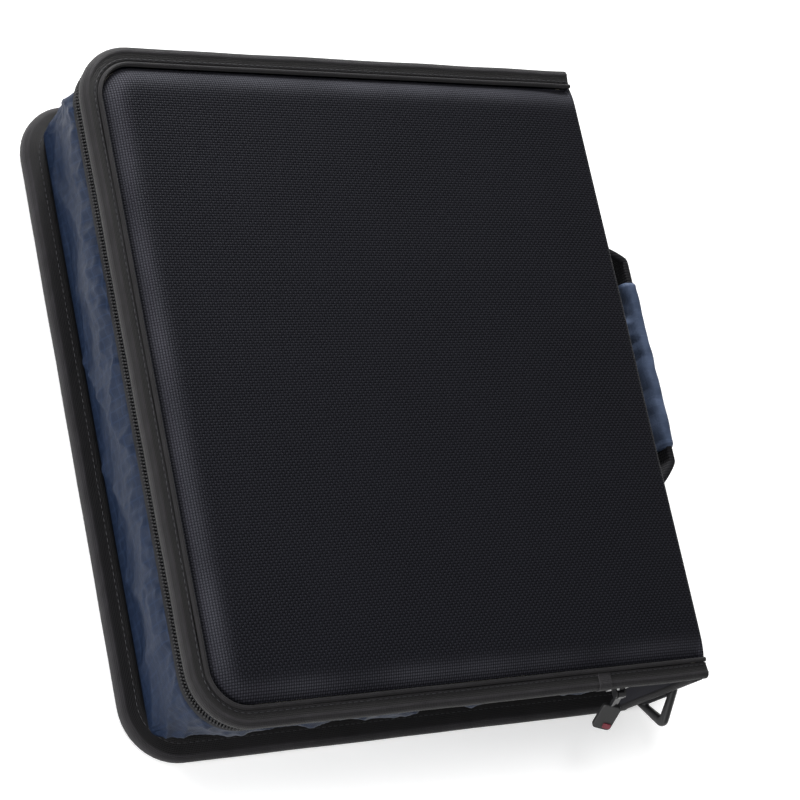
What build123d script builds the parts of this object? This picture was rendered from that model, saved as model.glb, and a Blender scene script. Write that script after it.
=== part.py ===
"""Zip-round ring binder: two padded covers, a leaning gusset, a carry handle and three round rings.

Row frame: the binder lies on its back cover. +Z points out of the front cover, +X towards the spine
and +Y towards the top edge. The origin is the middle of the back cover's outer face. Millimetres.
"""

from build123d import *
from math import cos, radians, sin, sqrt
import os

os.makedirs("parts", exist_ok=True)

# ------------------------------------------------------------------ driving sizes
cover_width = 300.0          # fore edge to the outer face of the spine
cover_height = 343.0         # bottom edge to top edge
case_thickness = 76.5        # back face to the binding of the front cover
corner_radius = 30.0         # the two corners of the fore edge

skin_t = 1.2                 # woven cover cloth with its coating
foam_t = 1.5
board_t = 2.2
lining_t = 0.6
binding_width = 8.4
piping_width = 2.4
panel_gap = 0.4              # the groove beside the piping
crown_height = 2.4           # how far the padded panel stands above its binding
crown_radius = 3.4

gusset_wall_t = 1.6
gusset_foot_inset = 13.0     # the gusset's foot stands this far inside the cover's edge
gusset_top_inset = 3.0
gusset_foot_radius = 6.0

tape_t = 1.2
tape_height = 1.3
teeth_t = 2.4
teeth_height = 1.7
teeth_gap = 0.8
zip_to_cover = 1.5           # upper tape's height, from the teeth to the front cover
zip_end_from_spine = 46.0    # the zip stops this far short of the spine at top and bottom
stop_length = 2.6

slider_length = 12.0
slider_plate_t = 1.5
slider_clearance = 0.3
pin_radius = 0.8
pull_width = 10.0
pull_tab_length = 17.0
pull_tab_t = 2.6
link_length = 8.0
pull_tilt = 29.0             # the pull stands this far out from hanging straight down
pull_twist = 25.0

handle_offset = 4.0          # the handle's middle, above the middle of the spine
handle_rise = 29.5           # spine face to the middle of the strap
handle_run = 57.0            # half the straight part of the strap
handle_slip = 6.0            # the straight part hangs this far towards the top of its feet
handle_foot = 92.0           # half the length from foot to foot
handle_strap_t = 5.0
handle_strap_width = 32.0
handle_bend = 6.0
handle_cut = 68.0            # the strap swings between these two places
sleeve_length = 97.0
sleeve_slip = 3.5            # the sleeve's middle, above the middle of the feet
sleeve_t = 12.0
sleeve_width = 35.0

strap_bar_radius = 2.0
strap_ring_band = 8.0        # wall at the ends of the bar
strap_ring_apex_wall = 5.9
strap_ring_width = 42.0
strap_ring_reach = 15.0      # the bar's axis to the apex of the ring
strap_ring_centre_z = 27.0
strap_loop_wall = 1.3
strap_tab_width = 22.0
strap_tab_length = 30.0
strap_bar_inset = 3.0        # the bar's axis, inside the end of the spine

ring_mean_radius = 21.5
ring_wire = 3.2
ring_pitch = 108.0
ring_root_z = 8.5            # the wire leaves the channel this far from its middle
ring_tip_gap = 0.3
mechanism_margin = 47.5      # the channel ends this far inside the case's top and bottom edges
channel_width = 25.0
channel_height = 6.0
channel_wall = 0.9
plate_t = 1.0
plate_overhang = 8.0         # the base plate goes on past each end of the channel
blade_t = 1.0
blade_gap = 0.6
blade_edge_gap = 0.6
lever_pivot_gap = 3.5        # the lever's axis, past the end of the channel
lever_length = 24.0
lever_width = 19.0
lever_t = 2.2
lever_angle = 55.0
lever_hub_radius = 2.1
lever_pin_radius = 1.0

fit_gap = 0.3                # between pieces that move past each other
pocket_t = 0.9
pocket_height = 190.0
pocket_side_inset = 24.0

# ------------------------------------------------------------------ worked out from them
cover_t = skin_t + foam_t + board_t + lining_t
half_width = cover_width / 2
half_height = cover_height / 2
front_inner_z = case_thickness - cover_t
spine_outer_x = half_width
spine_inner_x = half_width - cover_t
spine_top_z = front_inner_z - fit_gap
panel_inset = binding_width + piping_width + panel_gap

teeth_upper_top = front_inner_z - zip_to_cover
teeth_upper_low = teeth_upper_top - teeth_height
teeth_lower_top = teeth_upper_low - teeth_gap
teeth_lower_low = teeth_lower_top - teeth_height
gusset_top_z = teeth_lower_low - tape_height
tape_inset = gusset_top_inset + (gusset_wall_t - tape_t) / 2
teeth_inset = gusset_top_inset + (gusset_wall_t - teeth_t) / 2
zip_end_x = half_width - zip_end_from_spine
teeth_middle_z = (teeth_upper_low + teeth_lower_top) / 2

inside_middle_z = (cover_t + front_inner_z) / 2


def edge_outline(inset, radius, right, mode=Mode.ADD):
    """A cover's outline: square at the spine, rounded at the two corners of the fore edge."""
    left = -half_width + inset
    half = half_height - inset
    with BuildLine() as outline:
        FilletPolyline((right, half), (left, half), (left, -half), (right, -half), radius=radius)
        Line((right, -half), (right, half))
    make_face(outline.edges(), mode=mode)


def edge_strip(inset, width, right):
    """A strip of one width that follows the top, fore and bottom edges."""
    edge_outline(inset, corner_radius - inset, right)
    edge_outline(inset + width, corner_radius - inset - width, right, mode=Mode.SUBTRACT)


def save(builder, label):
    """Name a finished piece and write it as its own node."""
    builder.part.label = label
    export_step(builder.part, f"parts/{label}.step")


def make_panel(label, inset, low, thickness, right):
    """A flat layer of a cover."""
    with BuildPart() as panel:
        with BuildSketch(Plane.XY.offset(low)):
            edge_outline(inset, corner_radius - inset, right)
        extrude(amount=thickness)
    save(panel, label)


def make_edge_strip(label, inset, width, low, thickness, right):
    """A binding, piping, tape or row of teeth along the three edges."""
    with BuildPart() as strip:
        with BuildSketch(Plane.XY.offset(low)):
            edge_strip(inset, width, right)
        extrude(amount=thickness)
    save(strip, label)


# ------------------------------------------------------------------ back cover
make_panel("back_skin", panel_inset, 0, skin_t, spine_outer_x)
make_panel("back_foam", panel_inset, skin_t, foam_t, spine_outer_x)
make_panel("back_board", panel_inset, skin_t + foam_t, board_t, spine_outer_x)
make_panel("back_lining", panel_inset, cover_t - lining_t, lining_t, spine_inner_x)
make_edge_strip("back_binding", 0, panel_inset, 0, cover_t, spine_outer_x)

# ------------------------------------------------------------------ front cover
front_board_z = front_inner_z + lining_t
front_foam_z = front_board_z + board_t
crown_top_z = case_thickness + crown_height

make_panel("front_lining", panel_inset, front_inner_z, lining_t, spine_outer_x)
make_panel("front_board", panel_inset, front_board_z, board_t, spine_outer_x)
make_edge_strip("front_binding", 0, binding_width, front_inner_z, cover_t, spine_outer_x)


with BuildPart() as front_foam:
    with BuildSketch(Plane.XY.offset(front_foam_z)):
        edge_outline(panel_inset + skin_t, corner_radius - panel_inset - skin_t, spine_outer_x - skin_t)
    extrude(amount=crown_top_z - skin_t - front_foam_z)
    free_edges = front_foam.faces().sort_by(Axis.Z)[-1].edges().sort_by(Axis.X)[:-1]
    fillet(free_edges, crown_radius - skin_t)
save(front_foam, "front_foam")

with BuildPart() as front_skin:
    with BuildSketch(Plane.XY.offset(front_foam_z)):
        edge_outline(panel_inset, corner_radius - panel_inset, spine_outer_x)
    extrude(amount=crown_top_z - front_foam_z)
    free_edges = front_skin.faces().sort_by(Axis.Z)[-1].edges().sort_by(Axis.X)[:-1]
    fillet(free_edges, crown_radius)
    add(front_foam.part, mode=Mode.SUBTRACT)
save(front_skin, "front_skin")

piping_height = cover_t + 0.8
with BuildPart() as front_piping:
    with BuildSketch(Plane.XY.offset(front_inner_z)):
        edge_strip(binding_width, piping_width, spine_outer_x)
    extrude(amount=piping_height)
    piping_arcs = front_piping.faces().sort_by(Axis.Z)[-1].edges().filter_by(GeomType.LINE, reverse=True)
    fillet(piping_arcs, 0.9)
save(front_piping, "front_piping")

with BuildPart() as front_pocket:
    with BuildSketch(Plane.XY.offset(front_inner_z - pocket_t)):
        with Locations((-pocket_side_inset / 2, -half_height + pocket_side_inset + pocket_height / 2)):
            RectangleRounded(cover_width - 3 * pocket_side_inset, pocket_height, 8)
    extrude(amount=pocket_t)
save(front_pocket, "front_pocket")


# ------------------------------------------------------------------ gusset
def gusset_sections(extra, right):
    """The leaning wall's outline at its foot and at the zip, moved inwards by extra."""
    with BuildSketch(Plane.XY.offset(cover_t)) as foot:
        edge_outline(gusset_foot_inset + extra, gusset_foot_radius, right)
    with BuildSketch(Plane.XY.offset(gusset_top_z)) as top:
        edge_outline(gusset_top_inset + extra, corner_radius - gusset_top_inset - extra, right)
    return [foot.sketch, top.sketch]


with BuildPart() as gusset_wall:
    loft(gusset_sections(0, spine_inner_x))
    loft(gusset_sections(gusset_wall_t, spine_inner_x + gusset_wall_t), mode=Mode.SUBTRACT)
save(gusset_wall, "gusset_wall")

end_panel_length = spine_inner_x - zip_end_x - stop_length - fit_gap
end_panel_height = spine_top_z - gusset_top_z
end_panel_y = half_height - gusset_top_inset - gusset_wall_t / 2
for end_name, side in (("top", 1), ("bottom", -1)):
    with BuildPart() as gusset_end:
        with BuildSketch(Plane.XY.offset(gusset_top_z)):
            with Locations((spine_inner_x - end_panel_length / 2, side * end_panel_y)):
                Rectangle(end_panel_length, gusset_wall_t)
        extrude(amount=end_panel_height)
    save(gusset_end, f"gusset_end_{end_name}")

# ------------------------------------------------------------------ zip
make_edge_strip("zip_tape_lower", tape_inset, tape_t, gusset_top_z, tape_height, zip_end_x)
make_edge_strip("zip_teeth_lower", teeth_inset, teeth_t, teeth_lower_low, teeth_height, zip_end_x)
make_edge_strip("zip_teeth_upper", teeth_inset, teeth_t, teeth_upper_low, teeth_height, zip_end_x)
make_edge_strip("zip_tape_upper", tape_inset, tape_t, teeth_upper_top, zip_to_cover, zip_end_x)

with BuildPart() as zip_stops:
    with BuildSketch(Plane.XY.offset(gusset_top_z)):
        stop_x = zip_end_x + stop_length / 2
        with Locations((stop_x, end_panel_y), (stop_x, -end_panel_y)):
            Rectangle(stop_length, teeth_t)
    extrude(amount=teeth_upper_top - gusset_top_z)
save(zip_stops, "zip_stops")

slider_x = zip_end_x - slider_length / 2 - 1
slider_low = teeth_middle_z - teeth_height - teeth_gap / 2 - 1.2
slider_high = front_inner_z - slider_clearance
teeth_outer_y = -half_height + teeth_inset
front_plate_y = teeth_outer_y - slider_clearance - slider_plate_t / 2
back_plate_y = teeth_outer_y + teeth_t + slider_clearance + slider_plate_t / 2
pin_y = front_plate_y - slider_plate_t / 2 - 2.8
pin_z = teeth_middle_z + 0.6
lug_gap = 4.4
lug_t = 1.0
lug_radius = 1.7

with BuildPart() as zip_slider:
    with BuildSketch(Plane.XZ.offset(-front_plate_y - slider_plate_t / 2)):
        with Locations((slider_x, (slider_low + slider_high) / 2)):
            RectangleRounded(slider_length, slider_high - slider_low, 1.8)
    extrude(amount=slider_plate_t)
    with BuildSketch(Plane.XZ.offset(-back_plate_y - slider_plate_t / 2)):
        with Locations((slider_x, (slider_low + slider_high) / 2)):
            RectangleRounded(slider_length, slider_high - slider_low, 1.8)
    extrude(amount=slider_plate_t)
    with BuildSketch(Plane.XZ.offset(-back_plate_y)):
        with Locations((slider_x + slider_length / 4, teeth_middle_z)):
            Rectangle(slider_length / 3, teeth_gap - slider_clearance)
    extrude(amount=back_plate_y - front_plate_y)
    for lug_side in (-1, 1):
        lug_x = slider_x + lug_side * (lug_gap + lug_t) / 2
        with BuildSketch(Plane.YZ.offset(lug_x - lug_t / 2)):
            with Locations((pin_y, pin_z)):
                Circle(lug_radius)
            with Locations(((pin_y + front_plate_y) / 2, pin_z)):
                Rectangle(front_plate_y - pin_y, 2 * lug_radius)
        extrude(amount=lug_t)
    with BuildSketch(Plane.YZ.offset(slider_x - lug_gap / 2)):
        with Locations((pin_y, pin_z)):
            Circle(pin_radius)
    extrude(amount=lug_gap)
save(zip_slider, "zip_slider")

# ------------------------------------------------------------------ zip pull
pull_direction = Vector(0, -sin(radians(pull_tilt)), -cos(radians(pull_tilt)))
pull_normal = Vector(0, cos(radians(pull_tilt)), -sin(radians(pull_tilt)))
link_width = lug_gap - 2 * fit_gap
link_t = 1.8
link_side = Plane(origin=(slider_x, pin_y, pin_z), x_dir=pull_direction, z_dir=(1, 0, 0))
link_face = Plane(origin=(slider_x, pin_y, pin_z), x_dir=pull_direction, z_dir=pull_normal)
tab_normal = pull_normal * cos(radians(pull_twist)) + Vector(1, 0, 0) * sin(radians(pull_twist))
tab_plane = Plane(origin=(slider_x, pin_y, pin_z), x_dir=pull_direction, z_dir=tab_normal)

with BuildPart() as pull_link:
    with BuildSketch(link_side):
        Circle(pin_radius + fit_gap + 1.0)
        with Locations((link_length / 2, 0)):
            Rectangle(link_length, link_t)
        Circle(pin_radius + fit_gap, mode=Mode.SUBTRACT)
    extrude(amount=link_width / 2, both=True)
save(pull_link, "pull_link")

accent_length = 3.2
accent_t = 0.5
with BuildPart() as pull_tab:
    with BuildSketch(tab_plane):
        with Locations((link_length + pull_tab_length / 2, 0)):
            RectangleRounded(pull_tab_length, pull_width, 2.2)
    extrude(amount=pull_tab_t / 2, both=True)
    fillet(pull_tab.edges().filter_by(GeomType.LINE, reverse=True), 0.6)
save(pull_tab, "pull_tab")

with BuildPart() as pull_accent:
    with BuildSketch(tab_plane.offset(-pull_tab_t / 2 - accent_t)):
        with Locations((link_length + pull_tab_length - accent_length, -pull_width / 4 + 0.4)):
            RectangleRounded(accent_length, pull_width / 2 - 0.8, 0.8)
    extrude(amount=accent_t)
save(pull_accent, "pull_accent")

# ------------------------------------------------------------------ spine
spine_board_t = cover_t - skin_t - lining_t


def make_spine_layer(label, outer_x, thickness, half_length):
    """A layer of the spine, standing on the back cover."""
    with BuildPart() as layer:
        with BuildSketch(Plane.YZ.offset(outer_x - thickness)):
            with Locations((0, (cover_t + spine_top_z) / 2)):
                Rectangle(2 * half_length, spine_top_z - cover_t)
        extrude(amount=thickness)
    save(layer, label)


make_spine_layer("spine_skin", spine_outer_x, skin_t, half_height)
make_spine_layer("spine_board", spine_outer_x - skin_t, spine_board_t, half_height - 2)
make_spine_layer("spine_lining", spine_inner_x + lining_t, lining_t, half_height - 2)

# ------------------------------------------------------------------ carry handle
strap_path_x = spine_outer_x + handle_rise
strap_foot_x = spine_outer_x + handle_strap_t / 2
strap_middle_z = inside_middle_z
slope_run = handle_rise - handle_strap_t / 2


def handle_strap(low, high):
    """The webbing strap between two places along the spine, measured from the handle's middle."""
    foot = handle_run + slope_run - handle_slip
    run_middle = handle_offset + handle_slip
    with BuildLine(Plane.XY.offset(strap_middle_z)) as strap_path:
        FilletPolyline(
            (strap_foot_x, handle_offset - handle_foot),
            (strap_foot_x, handle_offset - foot),
            (strap_path_x, run_middle - handle_run),
            (strap_path_x, run_middle + handle_run),
            (strap_foot_x, handle_offset + foot),
            (strap_foot_x, handle_offset + handle_foot),
            radius=handle_bend,
        )
    strap_end = Plane(origin=strap_path.line @ 0, z_dir=strap_path.line % 0, x_dir=(1, 0, 0))
    with BuildSketch(strap_end) as strap_section:
        Rectangle(handle_strap_t, handle_strap_width)
    sweep(strap_section.sketch, path=strap_path.line)
    with Locations((strap_path_x, handle_offset + (low + high) / 2, strap_middle_z)):
        Box(4 * handle_rise, high - low, 2 * handle_strap_width, mode=Mode.INTERSECT)


with BuildPart() as handle_core:
    handle_strap(-handle_cut, handle_cut)
save(handle_core, "handle_core")

with BuildPart() as handle_foot_top:
    handle_strap(handle_cut + fit_gap, handle_foot)
save(handle_foot_top, "handle_foot_top")

with BuildPart() as handle_foot_bottom:
    handle_strap(-handle_foot, -handle_cut - fit_gap)
save(handle_foot_bottom, "handle_foot_bottom")

with BuildPart() as handle_sleeve:
    with BuildSketch(Plane.XZ.offset(-handle_offset - sleeve_slip - sleeve_length / 2)):
        with Locations((strap_path_x, strap_middle_z)):
            RectangleRounded(sleeve_t, sleeve_width, sleeve_t / 2 - 0.5)
            Rectangle(handle_strap_t, handle_strap_width, mode=Mode.SUBTRACT)
    extrude(amount=sleeve_length)
save(handle_sleeve, "handle_sleeve")

# ------------------------------------------------------------------ strap rings
strap_hole_radius = strap_bar_radius + fit_gap
strap_loop_radius = strap_hole_radius + strap_loop_wall
strap_bar_x = spine_outer_x + strap_loop_radius
strap_bar_y = half_height - strap_bar_inset

for end_name, side in (("top", 1), ("bottom", -1)):
    with BuildPart() as strap_tab:
        with BuildSketch(Plane.XY.offset(strap_ring_centre_z - strap_tab_width / 2)):
            with Locations((strap_bar_x, side * strap_bar_y)):
                Circle(strap_loop_radius)
            tab_middle_y = side * (strap_bar_y - strap_tab_length / 2)
            with Locations((spine_outer_x + strap_loop_wall / 2, tab_middle_y)):
                Rectangle(strap_loop_wall, strap_tab_length)
            with Locations((strap_bar_x, side * strap_bar_y)):
                Circle(strap_hole_radius, mode=Mode.SUBTRACT)
        extrude(amount=strap_tab_width)
    save(strap_tab, f"strap_tab_{end_name}")

    bar_middle = (strap_bar_x, side * strap_bar_y, strap_ring_centre_z)
    ring_plane = Plane(origin=bar_middle, x_dir=(0, 0, 1), z_dir=(-side, 0, 0))
    half_bar = strap_ring_width / 2
    apex = strap_ring_reach
    with BuildPart() as strap_ring:
        with BuildSketch(ring_plane):
            with BuildLine():
                FilletPolyline(
                    (-half_bar, -strap_bar_radius),
                    (half_bar, -strap_bar_radius),
                    (half_bar, strap_bar_radius + 1.5),
                    (0, apex + 2.5),
                    (-half_bar, strap_bar_radius + 1.5),
                    radius=1.8,
                    close=True,
                )
            make_face()
            with BuildLine():
                FilletPolyline(
                    (-half_bar + strap_ring_band, strap_bar_radius),
                    (half_bar - strap_ring_band, strap_bar_radius),
                    (0, apex + 2.5 - strap_ring_apex_wall),
                    radius=1.4,
                    close=True,
                )
            make_face(mode=Mode.SUBTRACT)
        extrude(amount=strap_bar_radius, both=True)
        with BuildSketch(ring_plane):
            Rectangle(strap_tab_width + 2 * fit_gap, 2 * (strap_loop_radius + fit_gap))
        extrude(amount=2 * strap_bar_radius, both=True, mode=Mode.SUBTRACT)
        with BuildSketch(Plane.XY.offset(strap_ring_centre_z - half_bar + strap_ring_band / 2)):
            with Locations((strap_bar_x, side * strap_bar_y)):
                Circle(strap_bar_radius)
        extrude(amount=strap_ring_width - strap_ring_band)
    save(strap_ring, f"strap_ring_{end_name}")

# ------------------------------------------------------------------ ring mechanism on the spine
def from_spine(distance):
    """The X of a place this far inside the spine's inner face."""
    return spine_inner_x - distance


mechanism_z = inside_middle_z
channel_length = cover_height - 2 * mechanism_margin
plate_length = channel_length + 2 * plate_overhang
lever_pivot_y = channel_length / 2 + lever_pivot_gap
cavity_half = channel_width / 2 - channel_wall
ear_t = 1.2
ear_reach = 7.0
ear_z = lever_width / 2 + fit_gap + ear_t / 2
lever_pivot_out = plate_t + lever_hub_radius + 0.6

with BuildPart() as ring_base_plate:
    with BuildSketch(Plane.YZ.offset(from_spine(plate_t))):
        with Locations((0, mechanism_z)):
            RectangleRounded(plate_length, channel_width, 3)
    extrude(amount=plate_t)
    for ear_side in (-1, 1):
        with BuildSketch(Plane.XY.offset(mechanism_z + ear_side * ear_z - ear_t / 2)):
            for end in (-1, 1):
                with Locations((from_spine(plate_t + ear_reach / 2 - 0.5), end * lever_pivot_y)):
                    Rectangle(ear_reach, 5.0)
                with Locations((from_spine(lever_pivot_out), end * lever_pivot_y)):
                    Circle(lever_pin_radius + fit_gap / 2, mode=Mode.SUBTRACT)
        extrude(amount=ear_t)
save(ring_base_plate, "ring_base_plate")

slot_length = ring_wire + 2.4
slot_width = ring_wire + 3.4
with BuildPart() as ring_channel:
    with BuildSketch(Plane.XZ.offset(-channel_length / 2)):
        with Locations((from_spine(plate_t + channel_height / 2), mechanism_z)):
            Rectangle(channel_height, channel_width)
    extrude(amount=channel_length)
    fillet(ring_channel.faces().sort_by(Axis.X)[0].edges().filter_by(Axis.Y), 2.4)
    with BuildSketch(Plane.XZ.offset(-channel_length / 2)):
        with Locations((from_spine(plate_t + (channel_height - channel_wall) / 2), mechanism_z)):
            Rectangle(channel_height - channel_wall, 2 * cavity_half)
    extrude(amount=channel_length, mode=Mode.SUBTRACT)
    with BuildSketch(Plane.YZ.offset(from_spine(plate_t + channel_height + 1))):
        for ring_y in (-ring_pitch, 0, ring_pitch):
            for slot_side in (-1, 1):
                with Locations((ring_y, mechanism_z + slot_side * (ring_root_z + 0.4))):
                    Rectangle(slot_length, slot_width)
    extrude(amount=channel_wall + 2.6, mode=Mode.SUBTRACT)
save(ring_channel, "ring_channel")

rivet_radius = 3.6
rivet_height = 1.6
rivet_y = ring_pitch / 2
with BuildPart() as mechanism_rivets:
    with BuildSketch(Plane.YZ.offset(from_spine(plate_t + channel_height + rivet_height))):
        with Locations((-rivet_y, mechanism_z), (rivet_y, mechanism_z)):
            Circle(rivet_radius)
    extrude(amount=rivet_height)
    rivet_rims = mechanism_rivets.faces().group_by(Axis.X)[0].edges()
    fillet(rivet_rims, rivet_height * 0.7)
save(mechanism_rivets, "mechanism_rivets")

blade_low = plate_t + blade_gap
blade_top = blade_low + blade_t
blade_outer = cavity_half - blade_edge_gap
blade_length = channel_length - 8
blade_pivot_out = blade_low + blade_t / 2
channel_top = plate_t + channel_height
ring_centre_out = channel_top + sqrt(ring_mean_radius**2 - ring_root_z**2)
blade_inner = 0.4

for half_name, side in (("front", 1), ("back", -1)):
    with BuildPart() as blade:
        with BuildSketch(Plane.YZ.offset(from_spine(blade_top))):
            with Locations((0, mechanism_z + side * (blade_inner + blade_outer) / 2)):
                Rectangle(blade_length, blade_outer - blade_inner)
                for rivet_side in (-1, 1):
                    with Locations((rivet_side * rivet_y, -side * (blade_outer - blade_inner) / 2)):
                        Circle(rivet_radius, mode=Mode.SUBTRACT)
        extrude(amount=blade_t)
    save(blade, f"ring_blade_{half_name}")

    for number, ring_y in enumerate((-ring_pitch, 0, ring_pitch), start=1):
        root = (from_spine(channel_top), mechanism_z + side * ring_root_z)
        tip = (from_spine(ring_centre_out + ring_mean_radius), mechanism_z + side * ring_tip_gap / 2)
        crown = (
            from_spine(ring_centre_out + ring_mean_radius * cos(radians(70))),
            mechanism_z + side * ring_mean_radius * sin(radians(70)),
        )
        with BuildPart() as half_ring:
            with BuildLine(Plane.XZ.offset(-ring_y)) as wire_path:
                ThreePointArc(root, crown, tip)
            with BuildSketch(Plane(origin=wire_path.line @ 1, z_dir=wire_path.line % 1)):
                Circle(ring_wire / 2)
            sweep(path=wire_path.line)
            with BuildSketch(Plane.YZ.offset(from_spine(channel_top))):
                with Locations((ring_y, mechanism_z + side * ring_root_z)):
                    Circle(ring_wire / 2)
            extrude(amount=channel_top - blade_top)
            with Locations((from_spine(channel_top), ring_y, mechanism_z + side * ring_root_z)):
                Sphere(ring_wire / 2)
        save(half_ring, f"ring_{half_name}_{number}")

for end_name, end in (("top", 1), ("bottom", -1)):
    lever_x = from_spine(lever_pivot_out)
    lever_end = (
        lever_x - lever_length * sin(radians(lever_angle)),
        end * (lever_pivot_y + lever_length * cos(radians(lever_angle))),
    )
    with BuildPart() as lever:
        with BuildSketch(Plane.XY.offset(mechanism_z - lever_width / 2)):
            with Locations((lever_x, end * lever_pivot_y)):
                Circle(lever_hub_radius)
            with BuildLine() as lever_arm:
                Line((lever_x, end * lever_pivot_y), lever_end)
            trace(line_width=lever_t)
        extrude(amount=lever_width)
        with BuildSketch(Plane.XY.offset(mechanism_z - ear_z - ear_t / 2)):
            with Locations((lever_x, end * lever_pivot_y)):
                Circle(lever_pin_radius)
        extrude(amount=2 * ear_z + ear_t)
        lever_tip = lever.edges().filter_by(Axis.X, reverse=True).filter_by(Axis.Z).sort_by(Axis.X)[:2]
        fillet(lever_tip, lever_t / 2 - 0.2)
    save(lever, f"lever_{end_name}")

print("inside height", round(front_inner_z - cover_t, 2), "gusset top", round(gusset_top_z, 2))
print("cover fold axis", spine_outer_x, case_thickness)
print("zip slider pin", slider_x, round(pin_y, 2), round(pin_z, 2))
print("strap bar", round(strap_bar_x, 2), round(strap_bar_y, 2), strap_ring_centre_z)
print("blade pivot", round(from_spine(blade_pivot_out), 2), round(mechanism_z, 2), round(blade_outer, 2))
print("lever pivot", round(from_spine(lever_pivot_out), 2), lever_pivot_y)
print("handle", spine_outer_x, round(strap_middle_z, 2))
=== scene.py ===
# %% [markdown]
# # A zip-round ring binder
# The CAD frame holds every board, joint and metal part. Here it gets its cloth: a woven cover that wraps
# round the spine, bound edges, a leaning gusset with a zip, webbing, a padded grip, and all the stitching.

# %% Load the frame
import math

import bmesh
import bpy
import numpy as np
from mathutils import Matrix, Vector, noise


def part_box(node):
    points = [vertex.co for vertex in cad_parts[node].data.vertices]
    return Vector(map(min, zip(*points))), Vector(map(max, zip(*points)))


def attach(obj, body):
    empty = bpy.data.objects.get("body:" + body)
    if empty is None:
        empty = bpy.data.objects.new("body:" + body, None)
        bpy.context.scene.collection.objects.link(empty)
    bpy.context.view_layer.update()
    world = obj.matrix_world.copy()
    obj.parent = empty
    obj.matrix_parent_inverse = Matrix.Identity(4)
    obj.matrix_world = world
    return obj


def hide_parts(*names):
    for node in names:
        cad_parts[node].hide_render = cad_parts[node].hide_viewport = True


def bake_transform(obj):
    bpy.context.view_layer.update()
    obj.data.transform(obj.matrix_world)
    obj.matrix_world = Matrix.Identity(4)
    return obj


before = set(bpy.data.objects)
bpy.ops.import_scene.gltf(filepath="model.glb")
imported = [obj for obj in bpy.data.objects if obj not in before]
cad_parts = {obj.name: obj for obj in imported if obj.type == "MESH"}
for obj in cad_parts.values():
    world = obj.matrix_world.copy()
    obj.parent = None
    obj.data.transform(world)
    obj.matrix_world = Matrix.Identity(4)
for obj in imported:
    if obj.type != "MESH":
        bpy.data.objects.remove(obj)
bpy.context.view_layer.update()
mm = 0.001

# %% [markdown]
# ## Camera
# A long lens from above the lower left corner keeps the case's edges nearly parallel. A camera looks along its
# own -Z, so the direction behind it is turned into a rotation, and a roll about that axis stands the case up.

# %% The camera
camera_place = Vector((-0.7096, -0.3442, 1.0922))
camera_back = Vector((-0.55154, -0.25657, 0.79371)).normalized()
camera_roll = math.radians(57.8)
level = camera_back.to_track_quat("Z", "Y")
camera = bpy.data.objects.new("camera", bpy.data.cameras.new("camera"))
camera.data.lens = 115.6
camera.data.sensor_width = 36.0
camera.rotation_mode = "QUATERNION"
camera.rotation_quaternion = level @ Matrix.Rotation(camera_roll, 3, "Z").to_quaternion()
camera.location = camera_place
camera.data.clip_start = 50 * mm
bpy.context.scene.collection.objects.link(camera)
bpy.context.scene.camera = camera
print("camera right axis", tuple(round(v, 3) for v in camera.rotation_quaternion @ Vector((1, 0, 0))))

# %% [markdown]
# ## Light and floor
# Black cloth shows its shape only by what it reflects. Two soft lamps stand low beside the case and rake
# across it, from its left and from beyond its top edge. A third overhead lights colours but is kept out of
# reflections, so that the cover stays dark. The pale floor and sky do the rest.

# %% Lamps, sky and floor
scene = bpy.context.scene
scene.view_settings.view_transform = "Standard"
scene.view_settings.look = "None"


def soft_lamp(name, place, aim, side, power):
    """A square area lamp that stands at a place and faces a point. Side is in metres and power in watts."""
    lamp = bpy.data.objects.new(name, bpy.data.lights.new(name, "AREA"))
    lamp.data.size = side
    lamp.data.energy = power
    lamp.location = place
    lamp.rotation_mode = "QUATERNION"
    lamp.rotation_quaternion = (Vector(place) - Vector(aim)).to_track_quat("Z", "Y")
    scene.collection.objects.link(lamp)
    return lamp


case_middle = (0.0, 0.0, 0.05)
overhead = soft_lamp("overhead", (-0.5, 0.5, 1.9), case_middle, 0.8, 20)
overhead.visible_glossy = False
soft_lamp("left_edge", (-1.5, -0.3, 0.5), case_middle, 0.5, 30)
soft_lamp("top_edge", (0.1, 1.6, 0.42), case_middle, 0.5, 44)
scene.world = bpy.data.worlds.new("studio")
scene.world.use_nodes = True
sky = scene.world.node_tree.nodes["Background"]
sky.inputs["Color"].default_value = (1.0, 1.0, 1.0, 1.0)
sky.inputs["Strength"].default_value = 0.38

floor_mesh = bpy.data.meshes.new("floor")
floor_half = 6.0
floor_drop = 0.8 * mm    # keeps the floor just clear of the underside's stitches
floor_corners = [(x * floor_half, y * floor_half, -floor_drop) for x, y in ((-1, -1), (1, -1), (1, 1), (-1, 1))]
floor_mesh.from_pydata(floor_corners, [], [(0, 1, 2, 3)])
floor = bpy.data.objects.new("floor", floor_mesh)
scene.collection.objects.link(floor)
print("lamps:", len(bpy.data.lights), "and a floor", 2 * floor_half, "m wide")


# %% [markdown]
# ## Tools for materials
# A material is a small network of nodes. One helper adds a node with its settings and links, so that each
# finish below reads as a list of what is in it. Colours are written as the hex values that a screen shows,
# and one function turns them into the linear values that light is added up in.

# %% Helpers for node networks
def colour(hex_code):
    """An sRGB hex colour as linear RGBA."""
    parts = [int(hex_code[i:i + 2], 16) / 255 for i in (1, 3, 5)]
    return (*(p / 12.92 if p <= 0.04045 else ((p + 0.055) / 1.055) ** 2.4 for p in parts), 1.0)


def add(tree, kind, sockets=None, **settings):
    """Add one node, with its settings, socket values and links."""
    made = tree.nodes.new(kind)
    for key, value in settings.items():
        setattr(made, key, value)
    for key, value in (sockets or {}).items():
        if isinstance(value, bpy.types.NodeSocket):
            tree.links.new(value, made.inputs[key])
        else:
            made.inputs[key].default_value = value
    return made


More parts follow.
